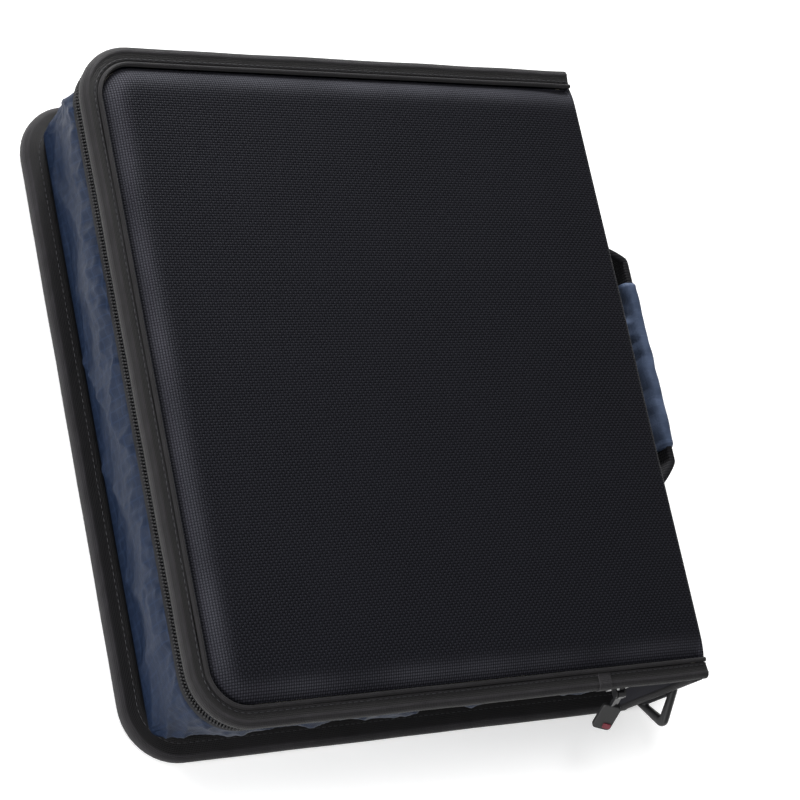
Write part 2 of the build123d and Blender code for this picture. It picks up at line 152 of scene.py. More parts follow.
def new_material(name, **constants):
    """A material with one Principled shader whose constants sit on its own sockets."""
    made = bpy.data.materials.new(name)
    made.use_nodes = True
    shader = made.node_tree.nodes["Principled BSDF"]
    for key, value in constants.items():
        shader.inputs[key.replace("_", " ")].default_value = value
    return made, made.node_tree, shader


first, second, mixed = 6, 7, 2    # where a Mix node keeps its two colours and their mix
print("helpers ready, mid grey is", round(colour("#808080")[0], 3), "in linear light")

# %% [markdown]
# ## Plain weave
# Most cloth here is a plain weave: each thread goes over one thread and under the next. An image of cloth would
# blur and repeat, and real threads would be millions of faces. Two sine waves at right angles give both what is
# needed: their product is large where threads cross, and its sign says which thread lies on top.

# %% A plain weave worked out from coordinates in millimetres
dome_power = 0.6    # below 1 makes each crossing rounder and its gap narrower


def plain_weave(tree, coordinates, pitch):
    """Over-and-under threads: a dome at each crossing, and a mask of which thread lies on top."""
    scaled = add(tree, "ShaderNodeVectorMath", {0: coordinates, "Scale": math.pi / pitch}, operation="SCALE")
    axes = add(tree, "ShaderNodeSeparateXYZ", {0: scaled.outputs["Vector"]})
    across = add(tree, "ShaderNodeMath", {0: axes.outputs["X"]}, operation="SINE")
    along = add(tree, "ShaderNodeMath", {0: axes.outputs["Y"]}, operation="SINE")
    both = add(tree, "ShaderNodeMath", {0: across.outputs[0], 1: along.outputs[0]}, operation="MULTIPLY")
    size = add(tree, "ShaderNodeMath", {0: both.outputs[0]}, operation="ABSOLUTE")
    dome = add(tree, "ShaderNodeMath", {0: size.outputs[0], 1: dome_power}, operation="POWER")
    top = add(tree, "ShaderNodeMath", {0: both.outputs[0], 1: 0.0}, operation="GREATER_THAN")
    return dome.outputs[0], top.outputs[0]


# %% [markdown]
# ## Cover cloth
# The outside is polyester woven from thick yarn and coated on the back. It reads the piece's own cloth map, so
# the threads follow every bend. The eye gets rows of small matt domes, each other one a little lighter, with
# slow patches and a paler shoulder along the seam, partly wear and partly a painted highlight.

# %% Woven polyester cover cloth
weave_pitch = 1.35    # mm, a little coarser than real, so that it shows
patch_size = 45.0     # mm
slub_size = 6.0       # mm, thick places in the yarn
cover_cloth, tree, shader = new_material(
    "woven_polyester_cover", Roughness=0.6, Specular_IOR_Level=0.1, Specular_Tint=colour("#d6dcf5"))
threads = add(tree, "ShaderNodeUVMap", uv_map="cloth").outputs["UV"]
dome, on_top = plain_weave(tree, threads, weave_pitch)
yarn = add(tree, "ShaderNodeMix", {"Factor": on_top, first: colour("#0a0a0c"), second: colour("#1e1e23")},
           data_type="RGBA").outputs[mixed]
woven = add(tree, "ShaderNodeMix", {"Factor": dome, first: colour("#020203"), second: yarn},
            data_type="RGBA").outputs[mixed]
patches = add(tree, "ShaderNodeTexNoise", {"Vector": threads, "Scale": 1 / patch_size, "Detail": 3.0})
worn = add(tree, "ShaderNodeMath", {0: patches.outputs["Fac"], 1: 0.35}, operation="MULTIPLY").outputs[0]
patched = add(tree, "ShaderNodeMix", {"Factor": worn, first: woven, second: colour("#16161b")},
              data_type="RGBA").outputs[mixed]
# Painted highlight, partly wear: the shoulder along the seam is paler, on the raised threads only.
ridge = add(tree, "ShaderNodeAttribute", attribute_name="wear_and_painted_light").outputs["Fac"]
raised = add(tree, "ShaderNodeMath", {0: ridge, 1: dome}, operation="MULTIPLY").outputs[0]
worn_and_lit = add(tree, "ShaderNodeMix", {"Factor": raised, first: patched, second: colour("#404046")},
             data_type="RGBA").outputs[mixed]
tree.links.new(worn_and_lit, shader.inputs["Base Color"])
slubs = add(tree, "ShaderNodeTexNoise", {"Vector": threads, "Scale": 1 / slub_size, "Detail": 3.0})
uneven = add(tree, "ShaderNodeBump", {"Height": slubs.outputs["Fac"], "Distance": 0.3 * mm, "Strength": 0.3})
relief = add(tree, "ShaderNodeBump", {"Height": dome, "Distance": 0.3 * mm, "Strength": 0.9,
                                      "Normal": uneven.outputs["Normal"]})
tree.links.new(relief.outputs["Normal"], shader.inputs["Normal"])
print(cover_cloth.name, len(tree.nodes), "nodes")

# %% [markdown]
# ## Binding tape
# Raw edges are covered by a narrow ribbed tape, folded over and sewn. Its fold is painted paler, partly for the
# wear a fold gets first and partly as a painted highlight. The mesh says where, with an attribute from 0 to 1,
# so the same material serves every strip. The eye gets fine dull ribs with a broken paler line along the fold.

# %% Ribbed binding tape
tape_pitch = 0.9     # mm
fluff_size = 9.0     # mm
binding_tape, tree, shader = new_material(
    "ribbed_polyester_binding", Roughness=0.62, Sheen_Weight=0.03, Sheen_Roughness=0.5, Specular_IOR_Level=0.2)
threads = add(tree, "ShaderNodeUVMap", uv_map="cloth").outputs["UV"]
dome, on_top = plain_weave(tree, threads, tape_pitch)
ribs = add(tree, "ShaderNodeMix", {"Factor": dome, first: colour("#080808"), second: colour("#1b1a1b")},
           data_type="RGBA").outputs[mixed]
fluff = add(tree, "ShaderNodeTexNoise", {"Vector": threads, "Scale": 1 / fluff_size, "Detail": 3.0})
patch = fluff.outputs["Fac"]
# Painted highlight, partly wear: paler where the mesh asks, most along the fold.
wear_and_painted_light = add(tree, "ShaderNodeAttribute", attribute_name="wear_and_painted_light").outputs["Fac"]
rub_and_highlight = add(tree, "ShaderNodeMath", {0: wear_and_painted_light, 1: patch}, operation="MULTIPLY").outputs[0]
worn_and_lit = add(tree, "ShaderNodeMix", {"Factor": rub_and_highlight, first: ribs, second: colour("#38363a")},
             data_type="RGBA").outputs[mixed]
tree.links.new(worn_and_lit, shader.inputs["Base Color"])
uneven = add(tree, "ShaderNodeBump", {"Height": patch, "Distance": 0.6 * mm, "Strength": 0.5}).outputs["Normal"]
relief = add(tree, "ShaderNodeBump", {"Height": dome, "Distance": 0.25 * mm, "Strength": 0.8,
                                      "Normal": uneven})
tree.links.new(relief.outputs["Normal"], shader.inputs["Normal"])
print(binding_tape.name, len(tree.nodes), "nodes")

# %% [markdown]
# ## Gusset cloth
# The gusset and the grip are thin ripstop nylon: a fine weave with a thicker thread every few millimetres both
# ways. A fraction of the cloth map that is below a small share marks those threads. The eye gets a faint grid,
# creases that catch the light, and a paler bloom that is partly dust from hands and partly painted light,
# which makes the grip a lighter copy of the gusset.

# %% Ripstop nylon
ripstop_pitch = 5.0    # mm
fine_pitch = 0.8       # mm, coarser than real, so that it shows
cord_share = 0.13      # how much of each cell its thick thread takes up
fade_size, bloom_size, crumple_size = 26.0, 12.0, 7.0    # mm
gusset_cloth, tree, shader = new_material(
    "ripstop_nylon_slate", Roughness=0.5, Sheen_Weight=0.01, Sheen_Roughness=0.4, Specular_IOR_Level=0.09,
    Sheen_Tint=colour("#8ea2cc"))
threads = add(tree, "ShaderNodeUVMap", uv_map="cloth").outputs["UV"]
dome, on_top = plain_weave(tree, threads, fine_pitch)
scaled = add(tree, "ShaderNodeVectorMath", {0: threads, "Scale": 1 / ripstop_pitch}, operation="SCALE")
cell = add(tree, "ShaderNodeVectorMath", {0: scaled.outputs["Vector"]}, operation="FRACTION")
sides = add(tree, "ShaderNodeSeparateXYZ", {0: cell.outputs["Vector"]})
across = add(tree, "ShaderNodeMath", {0: sides.outputs["X"], 1: cord_share}, operation="LESS_THAN")
along = add(tree, "ShaderNodeMath", {0: sides.outputs["Y"], 1: cord_share}, operation="LESS_THAN")
both = add(tree, "ShaderNodeMath", {0: across.outputs[0], 1: along.outputs[0]}, operation="MAXIMUM")
grid = both.outputs[0]

# %% Its colour
base = add(tree, "ShaderNodeMix", {"Factor": dome, first: colour("#0a101c"), second: colour("#111a2a")},
           data_type="RGBA").outputs[mixed]
fading = add(tree, "ShaderNodeTexNoise", {"Vector": threads, "Scale": 1 / fade_size, "Detail": 3.0})
paler = add(tree, "ShaderNodeMath", {0: fading.outputs["Fac"], 1: 0.5}, operation="MULTIPLY").outputs[0]
faded = add(tree, "ShaderNodeMix", {"Factor": paler, first: base, second: colour("#182337")},
            data_type="RGBA").outputs[mixed]
cord_tone = add(tree, "ShaderNodeMath", {0: grid, 1: 0.45}, operation="MULTIPLY").outputs[0]
unworn = add(tree, "ShaderNodeMix", {"Factor": cord_tone, first: faded, second: colour("#1e2a3f")},
             data_type="RGBA").outputs[mixed]
# Painted light, partly dust from hands: where the mesh asks, patches turn a paler blue grey, so that the grip
# is a lighter copy of the gusset cloth.
handled_and_lit = add(tree, "ShaderNodeAttribute", attribute_name="wear_and_painted_light").outputs["Fac"]
bloom_noise = add(tree, "ShaderNodeTexNoise", {"Vector": threads, "Scale": 1 / bloom_size, "Detail": 3.0})
dust_and_painted_light = add(tree, "ShaderNodeMath", {0: handled_and_lit, 1: bloom_noise.outputs["Fac"]}, operation="MULTIPLY").outputs[0]
worn_and_lit = add(tree, "ShaderNodeMix", {"Factor": dust_and_painted_light, first: unworn, second: colour("#5a6780")},
             data_type="RGBA").outputs[mixed]
tree.links.new(worn_and_lit, shader.inputs["Base Color"])

# %% Its relief: small crumples, then the weave, then the thick threads
crumple = add(tree, "ShaderNodeTexNoise", {"Vector": threads, "Scale": 1 / crumple_size, "Detail": 4.0})
lowest = add(tree, "ShaderNodeBump", {"Height": crumple.outputs["Fac"], "Distance": 1.2 * mm, "Strength": 0.4})
woven = add(tree, "ShaderNodeBump", {"Height": dome, "Distance": 0.12 * mm, "Strength": 0.5,
                                     "Normal": lowest.outputs["Normal"]})
corded = add(tree, "ShaderNodeBump", {"Height": grid, "Distance": 0.15 * mm, "Strength": 0.6,
                                      "Normal": woven.outputs["Normal"]})
tree.links.new(corded.outputs["Normal"], shader.inputs["Normal"])
print(gusset_cloth.name, len(tree.nodes), "nodes")

# %% [markdown]
# ## Webbing
# The handle and the ring tabs are thick flat webbing. The tabs come from the frame without a cloth map, so
# this finish reads Object coordinates, turned so that the weave lies in the plane of the spine. The eye gets
# coarse dull ribs with a little fluff on them.

# %% Webbing
rib_pitch = 1.6           # mm
webbing_fluff_size = 3.0    # mm
webbing, tree, shader = new_material(
    "polyester_webbing", Roughness=0.7, Sheen_Weight=0.02, Sheen_Roughness=0.5, Specular_IOR_Level=0.12)
place = add(tree, "ShaderNodeTexCoord").outputs["Object"]
in_mm = add(tree, "ShaderNodeVectorMath", {0: place, "Scale": 1 / mm}, operation="SCALE").outputs["Vector"]
turned = add(tree, "ShaderNodeMapping", {"Vector": in_mm, "Rotation": (0.0, math.radians(90), 0.0)}).outputs[0]
dome, on_top = plain_weave(tree, turned, rib_pitch)
ribs = add(tree, "ShaderNodeMix", {"Factor": dome, first: colour("#070708"), second: colour("#17171a")},
           data_type="RGBA").outputs[mixed]
fluff = add(tree, "ShaderNodeTexNoise", {"Vector": in_mm, "Scale": 1 / webbing_fluff_size, "Detail": 3.0})
fluffy = add(tree, "ShaderNodeMix", {"Factor": fluff.outputs["Fac"], first: ribs, second: colour("#1d1d20")},
             data_type="RGBA").outputs[mixed]
tree.links.new(fluffy, shader.inputs["Base Color"])
relief = add(tree, "ShaderNodeBump", {"Height": dome, "Distance": 0.4 * mm, "Strength": 0.8})
tree.links.new(relief.outputs["Normal"], shader.inputs["Normal"])
print(webbing.name, len(tree.nodes), "nodes")

# %% [markdown]
# ## Zip tape
# Zip tape is knitted from very fine polyester, flat and dull, so that the coil stands out on it. The same
# weave at a smaller pitch is close enough at this size. The eye gets an even, almost lightless black.

# %% Zip tape
knit_pitch = 0.7    # mm
zip_tape, tree, shader = new_material("knitted_zip_tape", Roughness=0.8, Specular_IOR_Level=0.15)
threads = add(tree, "ShaderNodeUVMap", uv_map="cloth").outputs["UV"]
dome, on_top = plain_weave(tree, threads, knit_pitch)
knit = add(tree, "ShaderNodeMix", {"Factor": dome, first: colour("#070708"), second: colour("#18181b")},
           data_type="RGBA").outputs[mixed]
tree.links.new(knit, shader.inputs["Base Color"])
relief = add(tree, "ShaderNodeBump", {"Height": dome, "Distance": 0.2 * mm, "Strength": 0.8})
tree.links.new(relief.outputs["Normal"], shader.inputs["Normal"])
print(zip_tape.name, len(tree.nodes), "nodes")

# %% [markdown]
# ## Lining cloth
# The inside is covered with thin calendered polyester, pressed flat and glued to the boards. It is a finer
# weave in a lighter black than the outside. The eye gets a smooth dark grey with faint large patches.

# %% Lining cloth
lining_pitch = 0.6           # mm
lining_patch_size = 30.0     # mm
lining_cloth, tree, shader = new_material(
    "thin_lining_cloth", Roughness=0.7, Sheen_Weight=0.03, Specular_IOR_Level=0.2)
place = add(tree, "ShaderNodeTexCoord").outputs["Object"]
in_mm = add(tree, "ShaderNodeVectorMath", {0: place, "Scale": 1 / mm}, operation="SCALE").outputs["Vector"]
dome, on_top = plain_weave(tree, in_mm, lining_pitch)
fine = add(tree, "ShaderNodeMix", {"Factor": dome, first: colour("#131316"), second: colour("#222227")},
           data_type="RGBA").outputs[mixed]
patches = add(tree, "ShaderNodeTexNoise", {"Vector": in_mm, "Scale": 1 / lining_patch_size, "Detail": 3.0})
patched = add(tree, "ShaderNodeMix", {"Factor": patches.outputs["Fac"], first: fine, second: colour("#2a2a30")},
              data_type="RGBA").outputs[mixed]
tree.links.new(patched, shader.inputs["Base Color"])
relief = add(tree, "ShaderNodeBump", {"Height": dome, "Distance": 0.2 * mm, "Strength": 0.6})
tree.links.new(relief.outputs["Normal"], shader.inputs["Normal"])
print(lining_cloth.name, len(tree.nodes), "nodes")

# %% [markdown]
# ## Sewing thread
# Seams are sewn with bonded polyester thread, twisted from three plies. One stitch is only a few millimetres
# long, so a fine noise is enough for its twist. The eye gets a thread slightly greyer than the tape it crosses.

# %% Sewing thread
ply_size = 0.4    # mm
thread, tree, shader = new_material("twisted_polyester_thread", Roughness=0.6, Specular_IOR_Level=0.3)
place = add(tree, "ShaderNodeTexCoord").outputs["Object"]
ply = add(tree, "ShaderNodeTexNoise", {"Vector": place, "Scale": 1 / (ply_size * mm), "Detail": 2.0})
twist = {"Factor": ply.outputs["Fac"], first: colour("#141415"), second: colour("#38383c")}
twisted = add(tree, "ShaderNodeMix", twist, data_type="RGBA").outputs[mixed]
tree.links.new(twisted, shader.inputs["Base Color"])
print(thread.name, len(tree.nodes), "nodes")


# %% [markdown]
# ## Plastics and metals
# Nothing moulded, plated or pressed is perfectly even. One function gives each such finish two close tones,
# a roughness that wanders between two values, and a fine grain. Each starts from the usual values of its real
# material, and a metal keeps the default IOR.

# %% A finish with uneven gloss
def uneven_gloss(name, dark, light, rough_low, rough_high, patch_size, grain, **constants):
    """A moulded, enamelled or plated surface. Patch size is in millimetres, and grain in metres."""
    made, tree, shader = new_material(name, **constants)
    place = add(tree, "ShaderNodeTexCoord").outputs["Object"]
    in_mm = add(tree, "ShaderNodeVectorMath", {0: place, "Scale": 1 / mm}, operation="SCALE").outputs["Vector"]
    patches = add(tree, "ShaderNodeTexNoise", {"Vector": in_mm, "Scale": 1 / patch_size, "Detail": 4.0})
    patch = patches.outputs["Fac"]
    tone = add(tree, "ShaderNodeMix", {"Factor": patch, first: colour(dark), second: colour(light)},
               data_type="RGBA").outputs[mixed]
    tree.links.new(tone, shader.inputs["Base Color"])
    gloss = add(tree, "ShaderNodeMapRange", {"Value": patch, "To Min": rough_low, "To Max": rough_high})
    tree.links.new(gloss.outputs[0], shader.inputs["Roughness"])
    fine = add(tree, "ShaderNodeTexNoise", {"Vector": in_mm, "Scale": 12 / patch_size, "Detail": 2.0})
    relief = add(tree, "ShaderNodeBump", {"Height": fine.outputs["Fac"], "Distance": grain, "Strength": 0.4})
    tree.links.new(relief.outputs["Normal"], shader.inputs["Normal"])
    return made


# %% Plastics
# Moulded nylon: dull black, with a soft gleam along each turn of the coil.
nylon_coil = uneven_gloss("moulded_nylon_coil", "#060607", "#101012", 0.4, 0.55, 4.0, 0.00004,
                          IOR=1.53, Specular_IOR_Level=0.25)
# Moulded acetal: slick charcoal, with a broad clean highlight.
acetal = uneven_gloss("moulded_acetal_ring", "#0b0b0c", "#1a1a1c", 0.34, 0.5, 8.0, 0.00006, IOR=1.48)
# Soft PVC: rubbery black that hardly shines.
soft_pvc = uneven_gloss("moulded_soft_pvc", "#070708", "#121213", 0.5, 0.65, 6.0, 0.00008, IOR=1.53)
# The same plastic in dark red, for the raised mark on the pull.
red_pvc = uneven_gloss("moulded_red_pvc", "#4c0818", "#630e20", 0.45, 0.6, 2.0, 0.00004, IOR=1.53)
# Polyethylene foam: matt off-white with fine cells.
foam = uneven_gloss("polyethylene_packing_foam", "#c9c9c4", "#deded9", 0.8, 0.9, 3.0, 0.0003)

# %% Metals, board and the backdrop's paper
# Enamel on die-cast zinc: black under a thin clear gloss.
enamel = uneven_gloss("enamelled_zinc_slider", "#08080a", "#161618", 0.25, 0.42, 5.0, 0.00003, Coat_Weight=0.4)
# Nickel plate: bright and slightly warm, with sharp reflections.
nickel = uneven_gloss("nickel_plated_steel", "#b8b7b4", "#cfcecb", 0.14, 0.28, 14.0, 0.00002, Metallic=1.0)
# Zinc plate on spring steel: greyer than nickel, with blurred reflections.
spring_steel = uneven_gloss("zinc_plated_spring_steel", "#8f9192", "#a9abad", 0.28, 0.45, 9.0, 0.00003,
                            Metallic=1.0)
# Pressed grey board: dry brown grey, with fibres.
grey_board = uneven_gloss("pressed_grey_board", "#8c8679", "#a09a8c", 0.85, 0.95, 5.0, 0.0001)
# Backdrop paper that glows a little, as it does when it is lit from below.
floor_paper = uneven_gloss("lit_backdrop_paper", "#f4f4f4", "#f8f8f8", 0.85, 0.95, 80.0, 0.0001,
                           Emission_Color=colour("#ffffff"), Emission_Strength=0.3)
floor.data.materials.append(floor_paper)
print(len(bpy.data.materials), "materials so far")

# %% [markdown]
# ## Finishes for the frame's own parts
# Boards, metal parts and linings keep the shape that the frame gives them, and only get a better surface. The
# material is assigned to the object's slot rather than to its mesh, which leaves the mesh untouched.

# %% Which part gets which finish
half_rings = tuple(f"ring_{half}_{number}" for half in ("front", "back") for number in (1, 2, 3))
cad_finishes = {
    lining_cloth: ("back_lining", "front_lining", "spine_lining", "front_pocket"),
    grey_board: ("back_board", "front_board", "spine_board"),
    foam: ("back_foam", "front_foam"),
    webbing: ("strap_tab_top", "strap_tab_bottom", "zip_stops"),
    nickel: ("ring_base_plate", "ring_channel", "mechanism_rivets", "lever_top", "lever_bottom", *half_rings),
    spring_steel: ("ring_blade_front", "ring_blade_back"),
    enamel: ("zip_slider", "pull_link"),
    soft_pvc: ("pull_tab",),
    red_pvc: ("pull_accent",),
}
for finish, names in cad_finishes.items():
    for name in names:
        for material_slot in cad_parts[name].material_slots:
            material_slot.link = "OBJECT"
            material_slot.material = finish
print("frame parts with their own finish:", sum(len(names) for names in cad_finishes.values()))

# %% [markdown]
# ## Tools for cloth pieces
# Every cloth piece here is a grid of points: some lines run along the cloth and some across it. From such a
# grid come the faces, and a "cloth" UV map in millimetres, so that a weave keeps its size round any bend. The
# sizes come from the frame's own boxes, so the cloth always fits what it covers.

# %% Sizes of the case
case_low, case_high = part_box("back_binding")
front_low, front_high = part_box("front_binding")
half_x = (case_high.x - case_low.x) / 2
half_y = (case_high.y - case_low.y) / 2
corner_radius = 30 * mm
spine_x = case_high.x
spine_inner_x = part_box("spine_lining")[0].x
panel_low, panel_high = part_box("front_skin")
panel_inset = panel_low.x - case_low.x
print("case", round(2 * half_x / mm), "x", round(2 * half_y / mm), "mm")
print("panel inset", round(panel_inset / mm, 1), "mm")


# %% A grid of points made into a piece
def lengths(points):
    """How far along a line of points each one is, in millimetres."""
    steps = np.linalg.norm(np.diff(points, axis=0), axis=1)
    return np.concatenate([[0.0], np.cumsum(steps)]) / mm


def add_object(name, mesh, material):
    """Link a finished mesh as an object with one material."""
    made = bpy.data.objects.new(name, mesh)
    mesh.materials.append(material)
    scene.collection.objects.link(made)
    return made


def grid_piece(name, grid, material, closed=False, capped=True, wear_and_painted_light=None, inside=None, flat=None):
    """A piece from rows of points. A closed one joins its last row to its first and has two end caps.
    Its cloth map is measured along the grid's lines, unless flat gives each point's place in the flat cloth."""
    grid = np.asarray(grid, float)
    rows, columns = grid.shape[:2]
    if flat is None:
        along = np.array([lengths(row) for row in grid])
        across = np.array([lengths(grid[:, j]) for j in range(columns)]).T
    else:
        along, across = np.moveaxis(np.asarray(flat, float), 2, 0)
    last = np.linalg.norm(grid[0] - grid[-1], axis=1) / mm
    along = np.vstack([along, along[:1]])
    across = np.vstack([across, across[-1:] + last])
    faces, corners_uv = [], []
    for i in range(rows if closed else rows - 1):
        k = (i + 1) % rows
        for j in range(columns - 1):
            faces.append((i * columns + j, i * columns + j + 1, k * columns + j + 1, k * columns + j))
            for r, c in ((i, j), (i, j + 1), (i + 1, j + 1), (i + 1, j)):
                corners_uv.append((along[r, c], across[r, c]))
    if closed and capped:
        for j in (0, columns - 1):
            faces.append(tuple(i * columns + j for i in range(rows)))
            corners_uv += [(along[i, j], across[i, j]) for i in range(rows)]
    mesh = bpy.data.meshes.new(name)
    mesh.from_pydata(grid.reshape(-1, 3).tolist(), [], faces)
    layer = mesh.uv_layers.new(name="cloth")
    layer.data.foreach_set("uv", np.array(corners_uv, np.float32).ravel())
    # A point attribute from 0 to 1, read by the cloth materials: how much paler each point is, for wear and
    # painted highlight.
    if wear_and_painted_light is not None:
        values = np.broadcast_to(np.asarray(wear_and_painted_light, np.float32).reshape(rows, -1), (rows, columns))
        mesh.attributes.new("wear_and_painted_light", "FLOAT", "POINT").data.foreach_set("value", values.ravel())
    face_outwards(mesh, closed, inside)
    mesh.shade_smooth()
    return add_object(name, mesh, material)


def face_outwards(mesh, closed, inside):
    """Make every face look out of the piece, or for an open sheet away from a point inside."""
    work = bmesh.new()
    work.from_mesh(mesh)
    if closed:
        bmesh.ops.recalc_face_normals(work, faces=work.faces)
    else:
        centre = Vector(inside or (0.0, 0.0, 0.04))
        total = sum(f.normal.dot(f.calc_center_median() - centre) * f.calc_area() for f in work.faces)
        if total < 0:
            bmesh.ops.reverse_faces(work, faces=work.faces)
    work.to_mesh(mesh)
    work.free()


def finish_sheet(piece, thickness, smoothing=1):
    """Give a sheet its thickness inwards and one level of smoothing, and apply both."""
    if thickness:
        wall = piece.modifiers.new("wall", "SOLIDIFY")
        wall.thickness = thickness
        wall.offset = -1
    if smoothing:
        smooth = piece.modifiers.new("smooth", "SUBSURF")
        smooth.levels = smoothing
        smooth.render_levels = smoothing
    bake(piece)


def bake(piece):
    """Replace the piece's mesh by what its modifiers make of it."""
    graph = bpy.context.evaluated_depsgraph_get()
    made = bpy.data.meshes.new_from_object(piece.evaluated_get(graph), depsgraph=graph)
    piece.modifiers.clear()
    piece.data = made
    piece.data.shade_smooth()
    print(piece.name, len(made.polygons), "faces")


# %% [markdown]
# ## A line round three edges
# The bindings, piping, gusset, zip and most seams all run along the bottom, fore and top edges, round two
# corners. One function gives that line at any inset, and another carries a section along it. A small smooth
# wander keeps a sewn edge from looking machined.

# %% A line round three edges of the case
side_steps, arc_steps, fore_steps = 62, 12, 78


def edge_line(inset, radius, right, fine=1):
    """Points and outward directions along the bottom, fore and top edges, in the XY plane."""
    left = -half_x + inset
    half = half_y - inset
    centre_x = left + radius
    centre_y = half - radius
    points, outward = [], []
    for x in np.linspace(right, centre_x, fine * side_steps, endpoint=False):
        points.append((x, -half))
        outward.append((0.0, -1.0))
    for turn in np.linspace(-90, -180, fine * arc_steps, endpoint=False):
        direction = (math.cos(math.radians(turn)), math.sin(math.radians(turn)))
        points.append((centre_x + radius * direction[0], -centre_y + radius * direction[1]))
        outward.append(direction)
    for y in np.linspace(-centre_y, centre_y, fine * fore_steps, endpoint=False):
        points.append((left, y))
        outward.append((-1.0, 0.0))
    for turn in np.linspace(180, 90, fine * arc_steps, endpoint=False):
        direction = (math.cos(math.radians(turn)), math.sin(math.radians(turn)))
        points.append((centre_x + radius * direction[0], centre_y + radius * direction[1]))
        outward.append(direction)
    for x in np.linspace(centre_x, right, fine * side_steps + 1):
        points.append((x, half))
        outward.append((0.0, 1.0))
    return np.array(points), np.array(outward)


def edge_sweep(profile, right, wobble=0.0, seed=0.0):
    """Carry a section of (inset, height) points along the three edges. Wobble lets it wander a little."""
    wander_rate, lift_rate, lift_share = 28, 21, 0.6    # waves per metre, and how much of it is up and down
    grid = []
    for inset, height in profile:
        points, outward = edge_line(inset, corner_radius - inset, right)
        row = []
        for point, direction in zip(points, outward):
            wander = wobble * noise.noise(Vector((*(point * wander_rate), seed)))
            lift = wobble * lift_share * noise.noise(Vector((*(point * lift_rate), seed + 9)))
            row.append((*(point + direction * wander), height + lift))
        grid.append(row)
    return np.array(grid)


# %% [markdown]
# ## The cover cloth
# One piece of cloth runs over the padded front, down the spine and under the back, so it is one grid: rows
# follow that way round, and columns run from the bottom edge to the top edge. A cloth simulation could puff up
# the front, but foam under tight cloth keeps one simple shape, so its height is worked out from the distance
# to the seam. That keeps the grid's lines in place, which the folds at the spine need.

# %% The way round the case
front_top = panel_high.z
seam_height = front_high.z - 1.5 * mm
fold_radius = 4 * mm
back_fold_radius = 2 * mm
board_cover = 1.0 * mm    # the cloth stands this far outside the boards where it folds over their edges
crown_width = 17 * mm
crown_extra = 2.0 * mm    # the foam stands this far above the flat board
cushion_power = 2.6       # larger makes the shoulder beside the seam steeper
panel_half = half_y - panel_inset
panel_radius = corner_radius - panel_inset
spine_half = half_y - 0.4 * mm
near_seam = np.array([0, 0.3, 0.8, 1.6, 2.6, 4.0, 5.8, 8.0, 11.0, 14.0, 17.5]) * mm
print("seam at", round(seam_height / mm, 1), "mm, front at", round((front_top + crown_extra) / mm, 1), "mm")

# %% [markdown]
# ## The padded front
# The foam's shoulder needs close lines beside the seam and few elsewhere, so the grid's spacing grows from the
# seam inwards. A little slow noise keeps the middle from looking like a plate.


# %% Its height from the distance to the seam
def seam_distance(x, y):
    """How far inside the panel's seam a point of it is. The spine side has no seam."""
    from_fore = x - (-half_x + panel_inset)
    from_side = panel_half - abs(y)
    if from_fore < panel_radius and from_side < panel_radius:
        return max(panel_radius - math.hypot(panel_radius - from_fore, panel_radius - from_side), 0.0)
    return max(min(from_fore, from_side), 0.0)


def cushion(distance, height, width):
    """A rise from the seam that starts steep and flattens out."""
    return height * (1 - (1 - min(distance / width, 1.0)) ** cushion_power)


def row_half(x):
    """Half the panel's length in Y at this X, shorter inside the rounded corners."""
    from_fore = x - (-half_x + panel_inset)
    if from_fore >= panel_radius:
        return panel_half
    return panel_half - panel_radius + math.sqrt(max(panel_radius**2 - (panel_radius - from_fore) ** 2, 0.0))


# %% Its grid
fore_x = -half_x + panel_inset
inner_x = np.linspace(fore_x + near_seam[-1], spine_x + board_cover - fold_radius, 56)
front_x = np.concatenate([fore_x + near_seam[:-1], inner_x])
flattening = 40 * mm    # the crown dies away over this distance before the spine
foam_wave, wave_start = 0.35 * mm, 12 * mm
inner_y = np.linspace(-(panel_half - near_seam[-1]), panel_half - near_seam[-1], 66)
across_y = np.concatenate([near_seam[:-1] - panel_half, inner_y, (panel_half - near_seam[:-1])[::-1]])
share_y = across_y / panel_half


def front_point(x, y):
    """A point of the padded front, with the slow unevenness of foam under cloth."""
    away = seam_distance(x, y)
    swell = cushion(away, front_top + crown_extra - seam_height, crown_width)
    swell -= crown_extra * min(max((x - spine_x) / flattening + 1, 0.0), 1.0) ** 2
    uneven = foam_wave * noise.noise(Vector((x * 13, y * 13, 2.0))) * min(away / wave_start, 1)
    return (x, y, seam_height + max(swell, 0.0) + uneven)


rows = []
for x in front_x:
    rows.append([front_point(x, share * row_half(x)) for share in share_y])
print("padded front:", len(rows), "x", len(share_y), "points")

# %% [markdown]
# ## Over the fold and down the spine
# The same rows go on over a small round fold, down the spine, and round a tighter fold at its foot. Where the
# cloth passes a board's edge it is held a little further out, and between the boards it dents inwards.

# %% The front fold
fold_x = spine_x + board_cover - fold_radius
fold_steps = 7
for turn in np.linspace(0, 90, fold_steps + 1)[1:]:
    half = panel_half + (spine_half - panel_half) * (turn / 90)
    row = []
    for share in share_y:
        top = front_point(fold_x, share * panel_half)[2]
        angle = math.radians(turn)
        fall = fold_radius * (1 - math.cos(angle))
        row.append((fold_x + fold_radius * math.sin(angle), share * half, top - fall))
    rows.append(row)

# %% The spine
spine_steps = 26
board_gap_low, board_gap_high, board_ease = 9.5 * mm, 63 * mm, (4 * mm, 6 * mm)
dent_depth = 0.4 * mm
spine_tops = [point[2] for point in rows[-1]]
for fall in np.linspace(0, 1, spine_steps + 1)[1:]:
    row = []
    for share, top in zip(share_y, spine_tops):
        height = top + (back_fold_radius - top) * fall
        above, below = (height - board_gap_high) / board_ease[1], (board_gap_low - height) / board_ease[0]
        over_board = min(max(above, below, 0.0), 1.0)
        over_board = over_board * over_board * (3 - 2 * over_board)
        dent = dent_depth * (1 - over_board) * (noise.noise(Vector((share * 6, fall * 3, 5.0))) - 0.5)
        row.append((spine_x + board_cover * over_board + dent, share * spine_half, height))
    rows.append(row)

